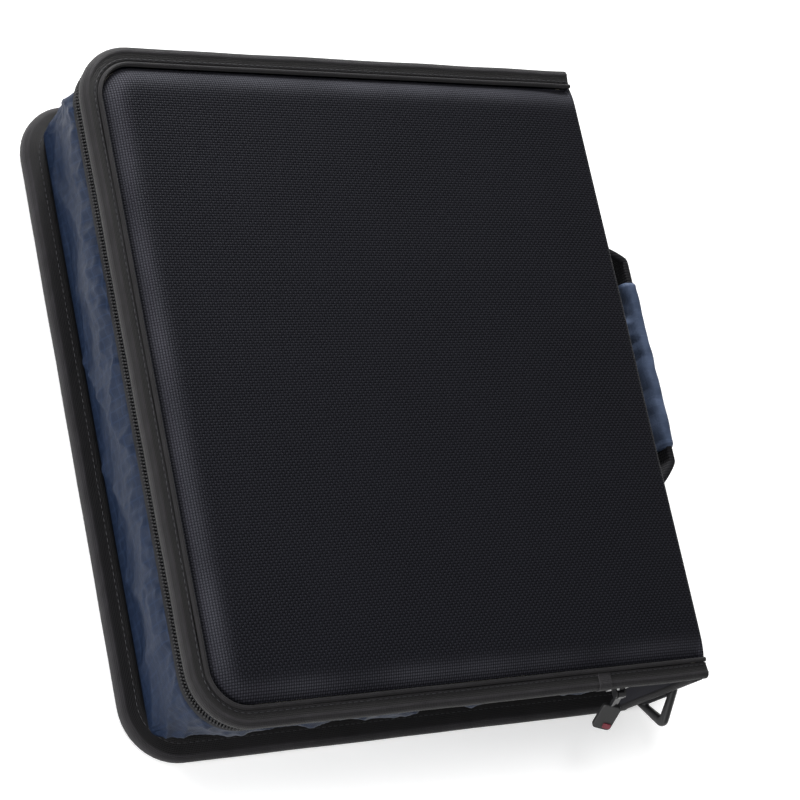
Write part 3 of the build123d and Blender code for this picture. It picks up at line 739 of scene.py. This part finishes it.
# %% The fold at its foot, and the underside
back_fold_x = spine_x + board_cover - back_fold_radius
for turn in np.linspace(0, 90, fold_steps + 1)[1:]:
    half = spine_half + (panel_half - spine_half) * (turn / 90)
    angle = math.radians(turn)
    place = (back_fold_x + back_fold_radius * math.cos(angle), back_fold_radius * (1 - math.sin(angle)))
    rows.append([(place[0], share * half, place[1]) for share in share_y])
back_lift, back_lift_width = 1.4 * mm, 4 * mm    # the cloth rises into its seam under the back's binding
for x in front_x[::-1][1:]:
    half = row_half(x)
    row = []
    for share in share_y:
        y = share * half
        row.append((x, y, back_lift - cushion(seam_distance(x, y), back_lift, back_lift_width)))
    rows.append(row)
print("whole cover:", len(rows), "rows")

# %% [markdown]
# ## Its flat cloth, and its shoulder painted paler
# The weave has to run straight across the whole cover, so its map is the flat cloth: the distance round the
# case one way, and the place across it the other way. The shoulder is painted paler in a band that follows the
# seam, partly as wear and partly as a painted highlight.

# %% The finished cover cloth
middle = len(share_y) // 2
round_the_case = lengths(np.array([row[middle] for row in rows]))
flat_cloth = [[(point[1] / mm, way_round) for point in row] for row, way_round in zip(rows, round_the_case)]
ridge_at, ridge_width, ridge_strength = 5.5 * mm, 5.0 * mm, 0.75


def ridge_wear_and_highlight(point):
    """How much paler the cloth is painted, partly wear and partly a painted highlight: most on the cushion's
    shoulder, a few millimetres inside the seam.
    """
    if point[2] < seam_height:
        return 0.0
    away = (seam_distance(point[0], point[1]) - ridge_at) / ridge_width
    patchy = 0.7 + 0.5 * noise.noise(Vector((point[0] * 30, point[1] * 30, 12.0)))
    return ridge_strength * math.exp(-away * away) * patchy


# Painted highlight, partly wear, for each point of the cover.
wear_and_highlight_grid = [[ridge_wear_and_highlight(point) for point in row] for row in rows]
cover = grid_piece("cover_cloth", rows, cover_cloth, flat=flat_cloth, wear_and_painted_light=wear_and_highlight_grid)
finish_sheet(cover, 0.9 * mm)
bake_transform(cover)
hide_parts("front_skin", "front_foam", "back_skin", "spine_skin")

# %% [markdown]
# ## Bound edges
# A folded tape covers the raw edges of each cover. A curve with a bevel would give a round tube, and this edge
# has a fold, a stitched dip and a flat underside. So its section is drawn once, in millimetres in from the edge
# and up, and carried round the three edges. The third number at each point is how much paler it is painted,
# partly for wear and partly as a painted highlight.

# %% Binding of both covers
tape_top = front_high.z
tape_low = front_low.z
# Third numbers: painted paler, partly wear and partly a painted highlight, most on the fold.
front_section = (
    (8.7, -1.6, 0.0), (8.4, -0.3, 0.1), (7.9, 0.25, 0.3), (7.1, 0.0, 0.1), (5.4, 0.35, 0.0), (3.9, 0.45, 0.1),
    (3.1, 0.8, 0.8), (2.5, 0.7, 0.5), (1.3, 0.2, 0.2), (0.45, -0.6, 0.4), (0.05, -1.7, 0.1), (0.05, -2.9, 0.0),
    (0.4, -3.9, 0.0), (1.2, -4.5, 0.0), (3.0, -5.4, 0.0), (8.6, -5.5, 0.0),
)
front_profile = [(inset * mm, tape_top + height * mm) for inset, height, worn_and_lit in front_section]
front_binding = grid_piece(
    "front_binding_tape", edge_sweep(front_profile, spine_x, 0.35 * mm, 1.0), binding_tape,
    closed=True, wear_and_painted_light=[worn_and_lit for inset, height, worn_and_lit in front_section])
bake(front_binding)
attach(front_binding, "front_cover")
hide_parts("front_binding")

# Third numbers: painted paler, partly wear and partly a painted highlight, most on the fold.
back_section = (
    (13.5, 5.1, 0.0), (12.4, 5.9, 0.0), (10.0, 5.9, 0.1), (8.6, 5.6, 0.1), (6.6, 5.95, 0.1), (3.6, 5.95, 0.2),
    (2.6, 6.15, 0.8), (1.4, 5.6, 0.4), (0.4, 4.8, 0.6), (0.0, 3.6, 0.3), (0.0, 1.9, 0.3), (0.4, 0.8, 0.5),
    (1.4, 0.15, 0.3), (3.0, 0.02, 0.1), (10.6, 0.02, 0.0), (11.6, 1.6, 0.0), (13.4, 2.6, 0.0),
)
back_profile = [(inset * mm, height * mm) for inset, height, worn_and_lit in back_section]
back_binding = grid_piece(
    "back_binding_tape", edge_sweep(back_profile, spine_x, 0.3 * mm, 4.0), binding_tape,
    closed=True, wear_and_painted_light=[worn_and_lit for inset, height, worn_and_lit in back_section])
bake(back_binding)
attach(back_binding, "back_case")
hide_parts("back_binding")

# %% [markdown]
# ## Where the binding's ends meet
# Tape is sewn on in one length, and its cut end is turned under and laid over its start. A short second layer
# shows that, so it follows the same section, a little further out, and slants across as a folded end does.

# %% The overlap of the binding's two ends
overlap_x = np.linspace(79 * mm, 87 * mm, 9)
overlap_lift, overlap_slant = 0.45 * mm, 0.12
grid = []
for inset, height in front_profile[:13]:
    out = overlap_lift if inset < 4 * mm else 0.0
    up = overlap_lift if height > tape_top - 1.2 * mm else 0.0
    slant = overlap_slant * (inset - 4 * mm)
    grid.append([(x + slant, -half_y + inset - out, height + up) for x in overlap_x])
# The folded end is painted paler: partly wear, partly a painted highlight.
overlap = grid_piece("front_binding_overlap", grid, binding_tape, wear_and_painted_light=[0.6] * len(grid),
                     inside=(83 * mm, -166 * mm, 72 * mm))
finish_sheet(overlap, 0.7 * mm)
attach(overlap, "front_cover")

# %% [markdown]
# ## Piping
# A cord covered with the same tape lies in the groove beside the binding and hides the panel's seam. It is a
# round section with eight sides, carried round the edges with a slower wander than the tape's.

# %% Piping beside the front binding
piping_radius = 1.25 * mm
piping_inset = 9.75 * mm
piping_height = tape_top + 0.1 * mm
piping_profile = []
for turn in range(0, 360, 45):
    angle = math.radians(turn)
    across, up = piping_radius * math.cos(angle), piping_radius * math.sin(angle)
    piping_profile.append((piping_inset + across, piping_height + up))
# The piping is painted a little paler: partly wear, partly a painted highlight.
piping = grid_piece("front_piping_cord", edge_sweep(piping_profile, spine_x, 0.2 * mm, 7.0), binding_tape,
                    closed=True, wear_and_painted_light=[0.3] * len(piping_profile))
bake(piping)
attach(piping, "front_cover")
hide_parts("front_piping")

# %% [markdown]
# ## The front board's edge beside the spine
# When the case lies open, the edge of the front board would show as bare grey board. A flat tape wraps it. It
# turns with the front cover, and it is thin enough to stay hidden while the case is shut.

# %% The tape over the front board's edge
edge_out, edge_in = spine_x + 0.15 * mm, spine_x - 2.5 * mm
edge_section = [(edge_in, tape_low - 0.1 * mm), (edge_out - 0.5 * mm, tape_low - 0.1 * mm),
                (edge_out, tape_low + 0.4 * mm), (edge_out, tape_low + 3.0 * mm),
                (edge_out - 0.4 * mm, tape_low + 3.5 * mm), (edge_in, tape_low + 3.5 * mm)]
edge_y = np.linspace(-half_y + 0.8 * mm, half_y - 0.8 * mm, 60)
grid = [[(x, y, z) for y in edge_y] for x, z in edge_section]
# Painted a little paler: partly wear, partly a painted highlight.
hinge_tape = grid_piece("front_hinge_edge_tape", grid, binding_tape, closed=True, wear_and_painted_light=[0.2] * len(grid))
bake(hinge_tape)
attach(hinge_tape, "front_cover")

# %% [markdown]
# ## The ends of the spine
# The spine's two short ends are bound too, with tape folded round the board like a hem. A half circle across
# the board's thickness, carried up from the base to just under the front cover, gives that fold.

# %% The bound ends of the spine
end_height = tape_low - 0.6 * mm
heights = np.linspace(0.5 * mm, end_height, 14)
middle_x = (spine_x + spine_inner_x) / 2
half_thick = (spine_x - spine_inner_x) / 2 + 0.3 * mm
end_depth, tape_proud, end_wave = 2.5 * mm, 0.2 * mm, 0.2 * mm
for end_name, side in (("top", 1), ("bottom", -1)):
    section = []
    for turn in np.linspace(0, 180, 9):
        angle = math.radians(turn)
        out = half_y - end_depth + (end_depth + tape_proud) * math.sin(angle)
        section.append((middle_x + half_thick * math.cos(angle), side * out))
    grid = []
    for x, y in section:
        grid.append([(x + end_wave * noise.noise(Vector((z * 60, side, 3))), y, z) for z in heights])
    # Painted a little paler: partly wear, partly a painted highlight.
    end_tape = grid_piece(f"spine_end_tape_{end_name}", grid, binding_tape, closed=True, wear_and_painted_light=[0.2] * len(grid))
    bake(end_tape)
    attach(end_tape, "back_case")

# %% [markdown]
# ## The gusset
# A strip of thin cloth stands on the back cover, leans outwards and ends at the zip. It is slack, so it
# bellies out, folds aslant and gathers in short ripples where the zip holds it. A cloth simulation gives such
# folds too, but they land where they will. Here they are sums of smooth waves and ridges, each with its own
# depth, which fade out where the cloth is sewn down.

# %% The slack wall of cloth
wall_low, wall_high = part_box("gusset_wall")
foot_inset, top_inset = 13 * mm, 3 * mm
foot_radius = 6 * mm
top_radius = corner_radius - top_inset
wall_rows = 48
wall_fine = 3
hem_share = 0.925    # the fold line below the zip, as a share of the wall's height
# How deep each kind of fold is, in millimetres.
belly_all, belly_fore = 1.0, 3.6
slack_depth, long_fold_depth, cross_fold_depth = 2.4, 2.1, 1.5
crumple_depth, ripple_depth, gather_depth, hem_depth = 0.8, 0.35, 0.8, 1.0
pulled_in = 1.6      # the folds stand on both sides of the flat wall, not only outside it


def smooth_noise(x, y, z):
    """Smooth noise between about -1 and 1."""
    return noise.noise(Vector((x, y, z)))


def crease(x, y, z):
    """Sharp-edged ridges: 1 on a winding line, falling to 0 beside it."""
    return max(1 - 2.4 * abs(smooth_noise(x, y, z)), 0.0) ** 2


def wall_offset(along, up, share, fore, middle):
    """How far the cloth stands out from its straight line. Along and up are millimetres in the flat cloth."""
    belly = (belly_fore * fore * middle + belly_all) * math.sin(math.pi * share ** 1.8)
    bend = 9 * smooth_noise(along * 0.012, up * 0.02, 4.0)
    folds = slack_depth * smooth_noise(along * 0.018, up * 0.016, 1.0)
    folds += long_fold_depth * crease((along + 0.7 * up + bend) * 0.021, up * 0.010, 6.0)
    folds += cross_fold_depth * crease((along - 0.9 * up - bend) * 0.034, up * 0.022, 11.0)
    folds += crumple_depth * crease(along * 0.085 + bend * 0.1, up * 0.075, 14.0)
    folds += ripple_depth * smooth_noise(along * 0.2, up * 0.2, 3.0)
    near_zip = max(share - 0.6, 0) / 0.4
    folds += gather_depth * math.sin(along * 0.62 + 2.5 * smooth_noise(along * 0.03, 0, 8)) * near_zip
    sewn = min(share / 0.1, 1.0) * min((1 - share) / 0.06, 1.0)
    hem = hem_depth / (1 + math.exp(-(share - hem_share) * 170))
    return (belly + (folds - pulled_in) * sewn - hem) * mm


# %% Its grid of points, and the cloth it was cut from
rim_points = edge_line(top_inset, top_radius, spine_inner_x, wall_fine)[0]
rim_lengths = lengths(np.column_stack([rim_points, np.zeros(len(rim_points))]))
wall_height = (wall_high.z - wall_low.z) / mm
grid, flat_grid = [], []
for share in np.linspace(0, 1, wall_rows):
    inset = foot_inset + (top_inset - foot_inset) * share
    radius = foot_radius + (top_radius - foot_radius) * share
    points, outward = edge_line(inset, radius, spine_inner_x, wall_fine)
    height = wall_low.z + (wall_high.z + 0.6 * mm - wall_low.z) * share
    row = []
    for point, direction, along in zip(points, outward, rim_lengths):
        middle = math.cos(min(abs(point[1]) / (half_y - 8 * mm), 1.0) * math.pi / 2) ** 0.6
        stand = wall_offset(along, share * wall_height, share, max(-direction[0], 0.0), middle)
        row.append((*(point + direction * stand), height))
    grid.append(row)
    flat_grid.append([(along, share * wall_height) for along in rim_lengths])
gusset = grid_piece("gusset_cloth", grid, gusset_cloth, flat=flat_grid)
finish_sheet(gusset, 0.7 * mm, 0)
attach(gusset, "back_case")
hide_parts("gusset_wall")

# %% [markdown]
# ## The gusset's closed ends
# Past the end of the zip, a narrow strip of the same cloth closes the case beside the spine. It is short and
# pulled tight, so a little smooth pucker is all that it needs.

# %% The strips beside the spine
pucker_depth = 0.7 * mm
for end_name, side in (("top", 1), ("bottom", -1)):
    low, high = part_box(f"gusset_end_{end_name}")
    middle_y = (low.y + high.y) / 2
    grid = []
    for z in np.linspace(low.z - 1.5 * mm, high.z, 8):
        row = []
        for x in np.linspace(low.x - 4 * mm, high.x, 26):
            pucker = pucker_depth * noise.noise(Vector((x * 160, z * 120, side)))
            row.append((x, middle_y + side * (0.3 * mm + pucker), z))
        grid.append(row)
    end_cloth = grid_piece(f"gusset_end_cloth_{end_name}", grid, gusset_cloth)
    finish_sheet(end_cloth, 0.7 * mm)
    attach(end_cloth, "back_case")
    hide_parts(f"gusset_end_{end_name}")


# %% [markdown]
# ## What repeats along a line
# Stitches and zip teeth are the same small shape again and again along a path. Copies made in a loop would do,
# but a Geometry Nodes tree says it more plainly: it spaces points evenly on a line, puts one shape on each,
# turns it to follow the line, and makes the copies real. The pitch and the shape's size are inputs, so one tree
# serves every seam and both rows of teeth. The shape has few faces, because there are thousands of copies.

# %% The tree that repeats a shape along a line
def repeat_tree():
    """A Geometry Nodes tree: rounded grains spaced along a line and turned to follow it."""
    tree = bpy.data.node_groups.new("repeat_along_line", "GeometryNodeTree")
    tree.interface.new_socket("Geometry", in_out="INPUT", socket_type="NodeSocketGeometry")
    tree.interface.new_socket("Pitch", in_out="INPUT", socket_type="NodeSocketFloat")
    tree.interface.new_socket("Size", in_out="INPUT", socket_type="NodeSocketVector")
    tree.interface.new_socket("Material", in_out="INPUT", socket_type="NodeSocketMaterial")
    tree.interface.new_socket("Geometry", in_out="OUTPUT", socket_type="NodeSocketGeometry")
    given = add(tree, "NodeGroupInput").outputs
    line = add(tree, "GeometryNodeMeshToCurve", {"Mesh": given["Geometry"]}).outputs["Curve"]
    spaced = add(tree, "GeometryNodeResampleCurve", {"Curve": line, "Length": given["Pitch"]}, mode="LENGTH")
    grain = add(tree, "GeometryNodeMeshUVSphere", {"Segments": 8, "Rings": 5, "Radius": 0.5}).outputs["Mesh"]
    way = add(tree, "GeometryNodeInputTangent").outputs[0]
    turn = add(tree, "FunctionNodeAlignRotationToVector", {"Vector": way}, axis="X").outputs[0]
    sockets = {"Points": spaced.outputs[0], "Instance": grain, "Rotation": turn, "Scale": given["Size"]}
    copies = add(tree, "GeometryNodeInstanceOnPoints", sockets).outputs[0]
    real = add(tree, "GeometryNodeRealizeInstances", {"Geometry": copies}).outputs[0]
    smooth = add(tree, "GeometryNodeSetShadeSmooth", {0: real}).outputs[0]
    coloured = add(tree, "GeometryNodeSetMaterial", {"Geometry": smooth, "Material": given["Material"]})
    add(tree, "NodeGroupOutput", {0: coloured.outputs[0]})
    return tree


repeating = repeat_tree()
socket_of = {item.name: item.identifier for item in repeating.interface.items_tree if item.in_out == "INPUT"}
print("inputs of the tree:", list(socket_of))


# %% A piece of small shapes along lines
def repeat_along(name, lines, pitch, size, material, body):
    """Make one piece of small shapes spaced along one or more lines of points."""
    mesh = bpy.data.meshes.new(name)
    points, edges = [], []
    for line in lines:
        start = len(points)
        points += [tuple(point) for point in line]
        edges += [(start + i, start + i + 1) for i in range(len(line) - 1)]
    mesh.from_pydata(points, edges, [])
    piece = bpy.data.objects.new(name, mesh)
    scene.collection.objects.link(piece)
    spread = piece.modifiers.new("repeat", "NODES")
    spread.node_group = repeating
    spread[socket_of["Pitch"]] = pitch
    spread[socket_of["Size"]] = size
    spread[socket_of["Material"]] = material
    bake(piece)
    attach(piece, body)
    return piece


# %% [markdown]
# ## The zip's tapes
# A coil zip is two tapes, each with a spiral of nylon sewn along its edge. The lower tape is sewn to the gusset
# and stays with the case. The upper one is sewn to the front cover and turns with it, so they are two pieces.

# %% Tapes
zip_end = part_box("zip_teeth_lower")[1].x
teeth_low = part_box("zip_teeth_lower")
teeth_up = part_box("zip_teeth_upper")
zip_proud = 1.3 * mm    # the coils sit this much nearer the edge than the frame's plain teeth, where they show
teeth_inset = teeth_low[0].x + half_x - zip_proud
teeth_thick = 2.4 * mm
tape_mid = teeth_inset + teeth_thick / 2
tape_half = 0.45 * mm
under_coil = 0.5 * mm    # each tape reaches this far behind its coil
tape_sets = (
    ("lower", "back_case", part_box("zip_tape_lower")[0].z - 2 * mm, teeth_low[0].z + under_coil),
    ("upper", "front_cover", teeth_up[1].z - under_coil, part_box("zip_tape_upper")[1].z + 0.4 * mm),
)
for tape_name, body, low_z, high_z in tape_sets:
    section = [(tape_mid - tape_half, low_z), (tape_mid - tape_half, high_z),
               (tape_mid + tape_half, high_z), (tape_mid + tape_half, low_z)]
    tape = grid_piece(f"zip_{tape_name}_tape", edge_sweep(section, zip_end + 2 * mm), zip_tape, closed=True)
    bake(tape)
    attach(tape, body)
    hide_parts(f"zip_tape_{tape_name}")

# %% [markdown]
# ## The zip's coils
# Each turn of a coil looks from outside like a small rounded grain. The turns of the two coils interlock, so
# the upper row is set half a pitch along from the lower one.

# %% Coils
coil_pitch = 1.7 * mm    # drawn a little coarse, so that each turn shows
coil_size = (1.15 * mm, 2.6 * mm, 2.3 * mm)
coil_sets = (("lower", "back_case", teeth_low, 0.0), ("upper", "front_cover", teeth_up, 0.5))
for coil_name, body, box, start in coil_sets:
    height = (box[0].z + box[1].z) / 2
    points, outward = edge_line(tape_mid, corner_radius - tape_mid, zip_end - start * coil_pitch)
    line = [(x, y, height) for x, y in points]
    coil = repeat_along(f"zip_{coil_name}_coil", [line], coil_pitch, coil_size, nylon_coil, body)
    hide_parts(f"zip_teeth_{coil_name}")

# %% [markdown]
# ## Stitching
# Each seam is sewn with twisted thread. A stitch lies in a shallow dip of the tape, with its ends pulled
# down, so a small grain half sunk in the cloth reads well. The same tree lays them out along every seam.

# %% Seams along the bound edges
stitch_pitch = 3.4 * mm
stitch_size = (2.5 * mm, 0.55 * mm, 0.5 * mm)


def edge_seam(name, inset, height, right, body):
    """A row of stitches along the three edges."""
    points, outward = edge_line(inset, corner_radius - inset, right)
    return repeat_along(name, [[(x, y, height) for x, y in points]], stitch_pitch, stitch_size, thread, body)


hem_inset = foot_inset + (top_inset - foot_inset) * hem_share
hem_z = wall_low.z + (wall_high.z - wall_low.z) * hem_share
edge_seam("gusset_hem_stitches", hem_inset - 0.2 * mm, hem_z + 1.2 * mm, spine_inner_x - 40 * mm, "back_case")
seam_right = spine_x - 3 * mm
front_seam_inset, back_seam_inset = 7.1 * mm, 8.9 * mm
edge_seam("front_binding_stitches", front_seam_inset, tape_top + 0.25 * mm, seam_right, "front_cover")
edge_seam("back_binding_stitches", back_seam_inset, 5.75 * mm, seam_right, "back_case")
edge_seam("back_underside_stitches", back_seam_inset, 0.05 * mm, seam_right, "back_case")

# %% [markdown]
# ## The pocket's seam
# The slip pocket inside the front cover is open at one side and sewn along the other three.

# %% Three sides of the pocket
pocket_low, pocket_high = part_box("front_pocket")
pocket_edge = 3 * mm
pocket_line = [
    (pocket_low.x + pocket_edge, pocket_high.y - pocket_edge, pocket_low.z),
    (pocket_low.x + pocket_edge, pocket_low.y + pocket_edge, pocket_low.z),
    (pocket_high.x - pocket_edge, pocket_low.y + pocket_edge, pocket_low.z),
    (pocket_high.x - pocket_edge, pocket_high.y - pocket_edge, pocket_low.z),
]
repeat_along("pocket_stitches", [pocket_line], stitch_pitch, stitch_size, thread, "front_cover")

# %% [markdown]
# ## The carry handle's strap
# A flat strap is sewn to the spine at two feet and bows outwards, and a padded sleeve is wrapped round its
# middle. The feet stay with the case while the middle rocks. Each half of the strap is its own piece.

# %% The strap
core_low, core_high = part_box("handle_core")
foot_high_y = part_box("handle_foot_top")[1].y
foot_low_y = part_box("handle_foot_bottom")[0].y
handle_y = (foot_high_y + foot_low_y) / 2
foot_y = (foot_high_y - foot_low_y) / 2
strap_z = (core_low.z + core_high.z) / 2
strap_half_width = (core_high.z - core_low.z) / 2
strap_thick = 4.6 * mm
rise = core_high.x - 2.5 * mm - spine_x
foot_rise = strap_thick / 2 + 0.2 * mm
# Where the slopes begin and end, from the middle of the feet. The strap has slipped towards the top, so
# its upper slope is the steeper one.
slopes = {1: (79 * mm, 64 * mm), -1: (79 * mm, 52 * mm)}
bend_softness = 0.35    # 0 gives straight slopes with sharp bends, 1 gives an even S
slope_step = 2.5 * mm


def strap_rise(y):
    """How far the strap's middle stands off the spine at a place along it."""
    low_end, high_end = slopes[1 if y > 0 else -1]
    share = min(max((low_end - abs(y)) / (low_end - high_end), 0.0), 1.0)
    eased = share + bend_softness * (share * share * (3 - 2 * share) - share)
    return foot_rise + (rise - foot_rise) * eased


def rounded_section(half_thick, half_wide, power=4.0, count=28):
    """A flattened oval: points of a superellipse."""
    section = []
    for i in range(count):
        angle = 2 * math.pi * i / count
        c, s = math.cos(angle), math.sin(angle)
        section.append((half_thick * math.copysign(abs(c) ** (2 / power), c),
                        half_wide * math.copysign(abs(s) ** (2 / power), s)))
    return section


def strap_grid(section, stations, puff=None):
    """Carry a section along the strap's line."""
    grid = []
    for out, up in section:
        row = []
        for y in stations:
            ahead = strap_rise(y + slope_step) - strap_rise(y - slope_step)
            lean = math.atan2(ahead, 2 * slope_step)
            extra = puff(y, out, up) if puff else 1.0
            x = spine_x + strap_rise(y) + out * extra * math.cos(lean)
            row.append((x, handle_y + y - out * extra * math.sin(lean), strap_z + up * extra))
        grid.append(row)
    return grid


print("the strap stands", round(rise / mm, 1), "mm off the spine")

# %% Its two halves
for half_name, side in (("top", 1), ("bottom", -1)):
    stations = side * np.linspace(foot_y, 24 * mm, 60)
    half_strap = grid_piece(f"handle_strap_{half_name}",
                            strap_grid(rounded_section(strap_thick / 2, strap_half_width, 7.0), stations),
                            webbing, closed=True)
    bake(half_strap)
    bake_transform(half_strap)
    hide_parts(f"handle_foot_{half_name}")
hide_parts("handle_core")    # the second half also stands for the strap's core

# %% [markdown]
# ## The padded sleeve
# A strip of the gusset's cloth with foam inside is wrapped round the strap. It is full, held in at its hems,
# and creased across where hands squeeze it. Its section is a soft rectangle carried along the strap's own
# line, and its fullness varies along it, so it bends with the strap and never leaves it.

# %% The sleeve's fullness
sleeve_low, sleeve_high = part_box("handle_sleeve")
sleeve_half = (sleeve_high.y - sleeve_low.y) / 2
sleeve_y = (sleeve_high.y + sleeve_low.y) / 2 - handle_y
face_half = 17 * mm
fold_depth, sleeve_ripple = 0.55, 0.05    # shares of the sleeve's thickness
hem_start, hem_pinch = 0.95, 0.14


def sleeve_puff(y, out, up):
    """The sleeve's fullness: firm at its edges, creased across its faces and gathered at its hems."""
    place = (y - sleeve_y) / sleeve_half
    face = max(1 - abs(up / face_half) ** 3, 0.0)
    pull = 9 * smooth_noise(y * 30, up * 30, 2.0)
    folds = crease((y / mm + 0.35 * up / mm + pull) * 0.05, up * 20, 4.0 + (3.0 if out > 0 else 0.0))
    ripple = sleeve_ripple * smooth_noise(y * 230, up * 90, out * 70 + 2.0)
    slack = 0.012 * smooth_noise(y * 90, up * 10, 5.0)
    hem = 1 - hem_pinch * max(0.0, abs(place) - hem_start) / (1 - hem_start)
    return (1.0 - fold_depth * folds * face + ripple * face + slack) * hem


# %% The sleeve itself
stations = np.linspace(sleeve_y - sleeve_half, sleeve_y + sleeve_half, 110)
sleeve_section = rounded_section(6.0 * mm, 17.3 * mm, 3.0, 44)
# The whole sleeve takes the paler bloom: partly dust from hands, partly painted light that makes it a lighter
# copy of the gusset cloth.
sleeve = grid_piece("handle_grip_sleeve", strap_grid(sleeve_section, stations, sleeve_puff), gusset_cloth,
                    closed=True, wear_and_painted_light=[1.0] * len(sleeve_section))
finish_sheet(sleeve, 0, 1)
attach(sleeve, "handle")
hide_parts("handle_sleeve")

# %% [markdown]
# ## Box stitching
# A strap that carries weight is sewn down with a square and a cross inside it, so that no single line of
# stitches can run. Each foot of the handle has one.

# %% Box stitching on the handle's feet
box_near, box_far, box_half = 80.5 * mm, 90 * mm, 12 * mm
for half_name, side in (("top", 1), ("bottom", -1)):
    near, far = handle_y + side * box_near, handle_y + side * box_far
    low_z, high_z = strap_z - box_half, strap_z + box_half
    x = spine_x + 2 * foot_rise - 0.15 * mm
    square = [(x, near, low_z), (x, far, low_z), (x, far, high_z), (x, near, high_z), (x, near, low_z)]
    cross = [[(x, near, low_z), (x, far, high_z)], [(x, far, low_z), (x, near, high_z)]]
    repeat_along(f"handle_foot_stitches_{half_name}", [square, *cross], stitch_pitch, stitch_size, thread,
                 "back_case")

# %% [markdown]
# ## Strap rings
# A moulded triangle hangs in a loop of webbing at each end of the spine. It could be a bent tube, but a moulded
# ring is flat, and wider at its corners than along its sides. So it is drawn as two closed lines whose corners
# are arcs, one outside and one inside, and a soft section is stretched between them all the way round.

# %% Sizes of the rings
ring_low, ring_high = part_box("strap_ring_bottom")
bar_x = (ring_low.x + ring_high.x) / 2
ring_z = (ring_low.z + ring_high.z) / 2
ring_half = (ring_high.z - ring_low.z) / 2
bar_y = ring_high.y - 2 * mm
reach = bar_y - ring_low.y
bar_half = 2 * mm
hole_half = ring_half - 9.5 * mm
hole_apex = reach - 5.2 * mm
section_steps = 12
section_softness = 0.7    # 1 gives an oval section, and smaller a squarer one
print("ring reaches", round(reach / mm, 1), "mm from its bar")


# %% A closed line with rounded corners
def rounded_loop(corners_in, radii, arc_points=7, run_points=5):
    """A closed line through corners, each one cut by an arc, with some points on each straight run."""
    count = len(corners_in)
    line = []
    for i in range(count):
        corner = np.array(corners_in[i])
        before = np.array(corners_in[i - 1]) - corner
        after = np.array(corners_in[(i + 1) % count]) - corner
        before = before / np.linalg.norm(before)
        after = after / np.linalg.norm(after)
        half_angle = math.acos(float(before @ after)) / 2
        bisector = (before + after) / np.linalg.norm(before + after)
        centre = corner + bisector * radii[i] / math.sin(half_angle)
        first = corner + before * radii[i] / math.tan(half_angle) - centre
        last = corner + after * radii[i] / math.tan(half_angle) - centre
        if line:
            start = line[-1]
            line += [start + (centre + first - start) * k / run_points for k in range(1, run_points)]
        for share in np.linspace(0, 1, arc_points):
            between = first * (1 - share) + last * share
            line.append(centre + between / np.linalg.norm(between) * radii[i])
    start, end = line[-1], line[0]
    line += [start + (end - start) * k / run_points for k in range(1, run_points)]
    return np.array(line)


# %% The moulded rings
outer_edge = rounded_loop([(-ring_half, -bar_half), (ring_half, -bar_half), (0.0, reach + 3.0 * mm)],
                          [2.6 * mm, 2.6 * mm, 5.0 * mm])
inner_edge = rounded_loop([(-hole_half, bar_half), (hole_half, bar_half), (0.0, hole_apex)],
                          [1.5 * mm, 1.5 * mm, 1.8 * mm])
for end_name, side in (("top", 1), ("bottom", -1)):
    grid = []
    for k in range(section_steps):
        c, s = math.cos(2 * math.pi * k / section_steps), math.sin(2 * math.pi * k / section_steps)
        thick = bar_half * math.copysign(abs(c) ** section_softness, c)
        share = 0.5 + 0.5 * math.copysign(abs(s) ** section_softness, s)
        row = []
        for outer_point, inner_point in zip(outer_edge, inner_edge):
            flat = inner_point * (1 - share) + outer_point * share
            row.append((bar_x + thick, side * (abs(bar_y) + flat[1]), ring_z + flat[0]))
        grid.append(row + row[:1])
    strap_ring = grid_piece(f"moulded_strap_ring_{end_name}", grid, acetal, closed=True, capped=False)
    work = bmesh.new()
    work.from_mesh(strap_ring.data)
    bmesh.ops.remove_doubles(work, verts=work.verts, dist=0.02 * mm)
    bmesh.ops.recalc_face_normals(work, faces=work.faces)
    work.to_mesh(strap_ring.data)
    work.free()
    finish_sheet(strap_ring, 0, 1)
    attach(strap_ring, f"strap_ring_{end_name}")
    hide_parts(f"strap_ring_{end_name}")

# %% [markdown]
# ## The tabs' stitching
# Each ring hangs in a tab of webbing that is folded round its bar and sewn down with one square of stitches.

# %% A square of stitches on each tab
tab_x = spine_x + 1.35 * mm    # the tab's face
tab_margin, square_length = 3 * mm, 19 * mm
for end_name, side in (("top", 1), ("bottom", -1)):
    tab_low, tab_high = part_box(f"strap_tab_{end_name}")
    inner_y = min(abs(tab_low.y), abs(tab_high.y)) + tab_margin
    near, far = side * inner_y, side * (inner_y + square_length)
    low_z, high_z = tab_low.z + tab_margin, tab_high.z - tab_margin
    square = [(tab_x, near, low_z), (tab_x, far, low_z), (tab_x, far, high_z), (tab_x, near, high_z),
              (tab_x, near, low_z)]
    repeat_along(f"strap_tab_stitches_{end_name}", [square], stitch_pitch, stitch_size, thread, "back_case")
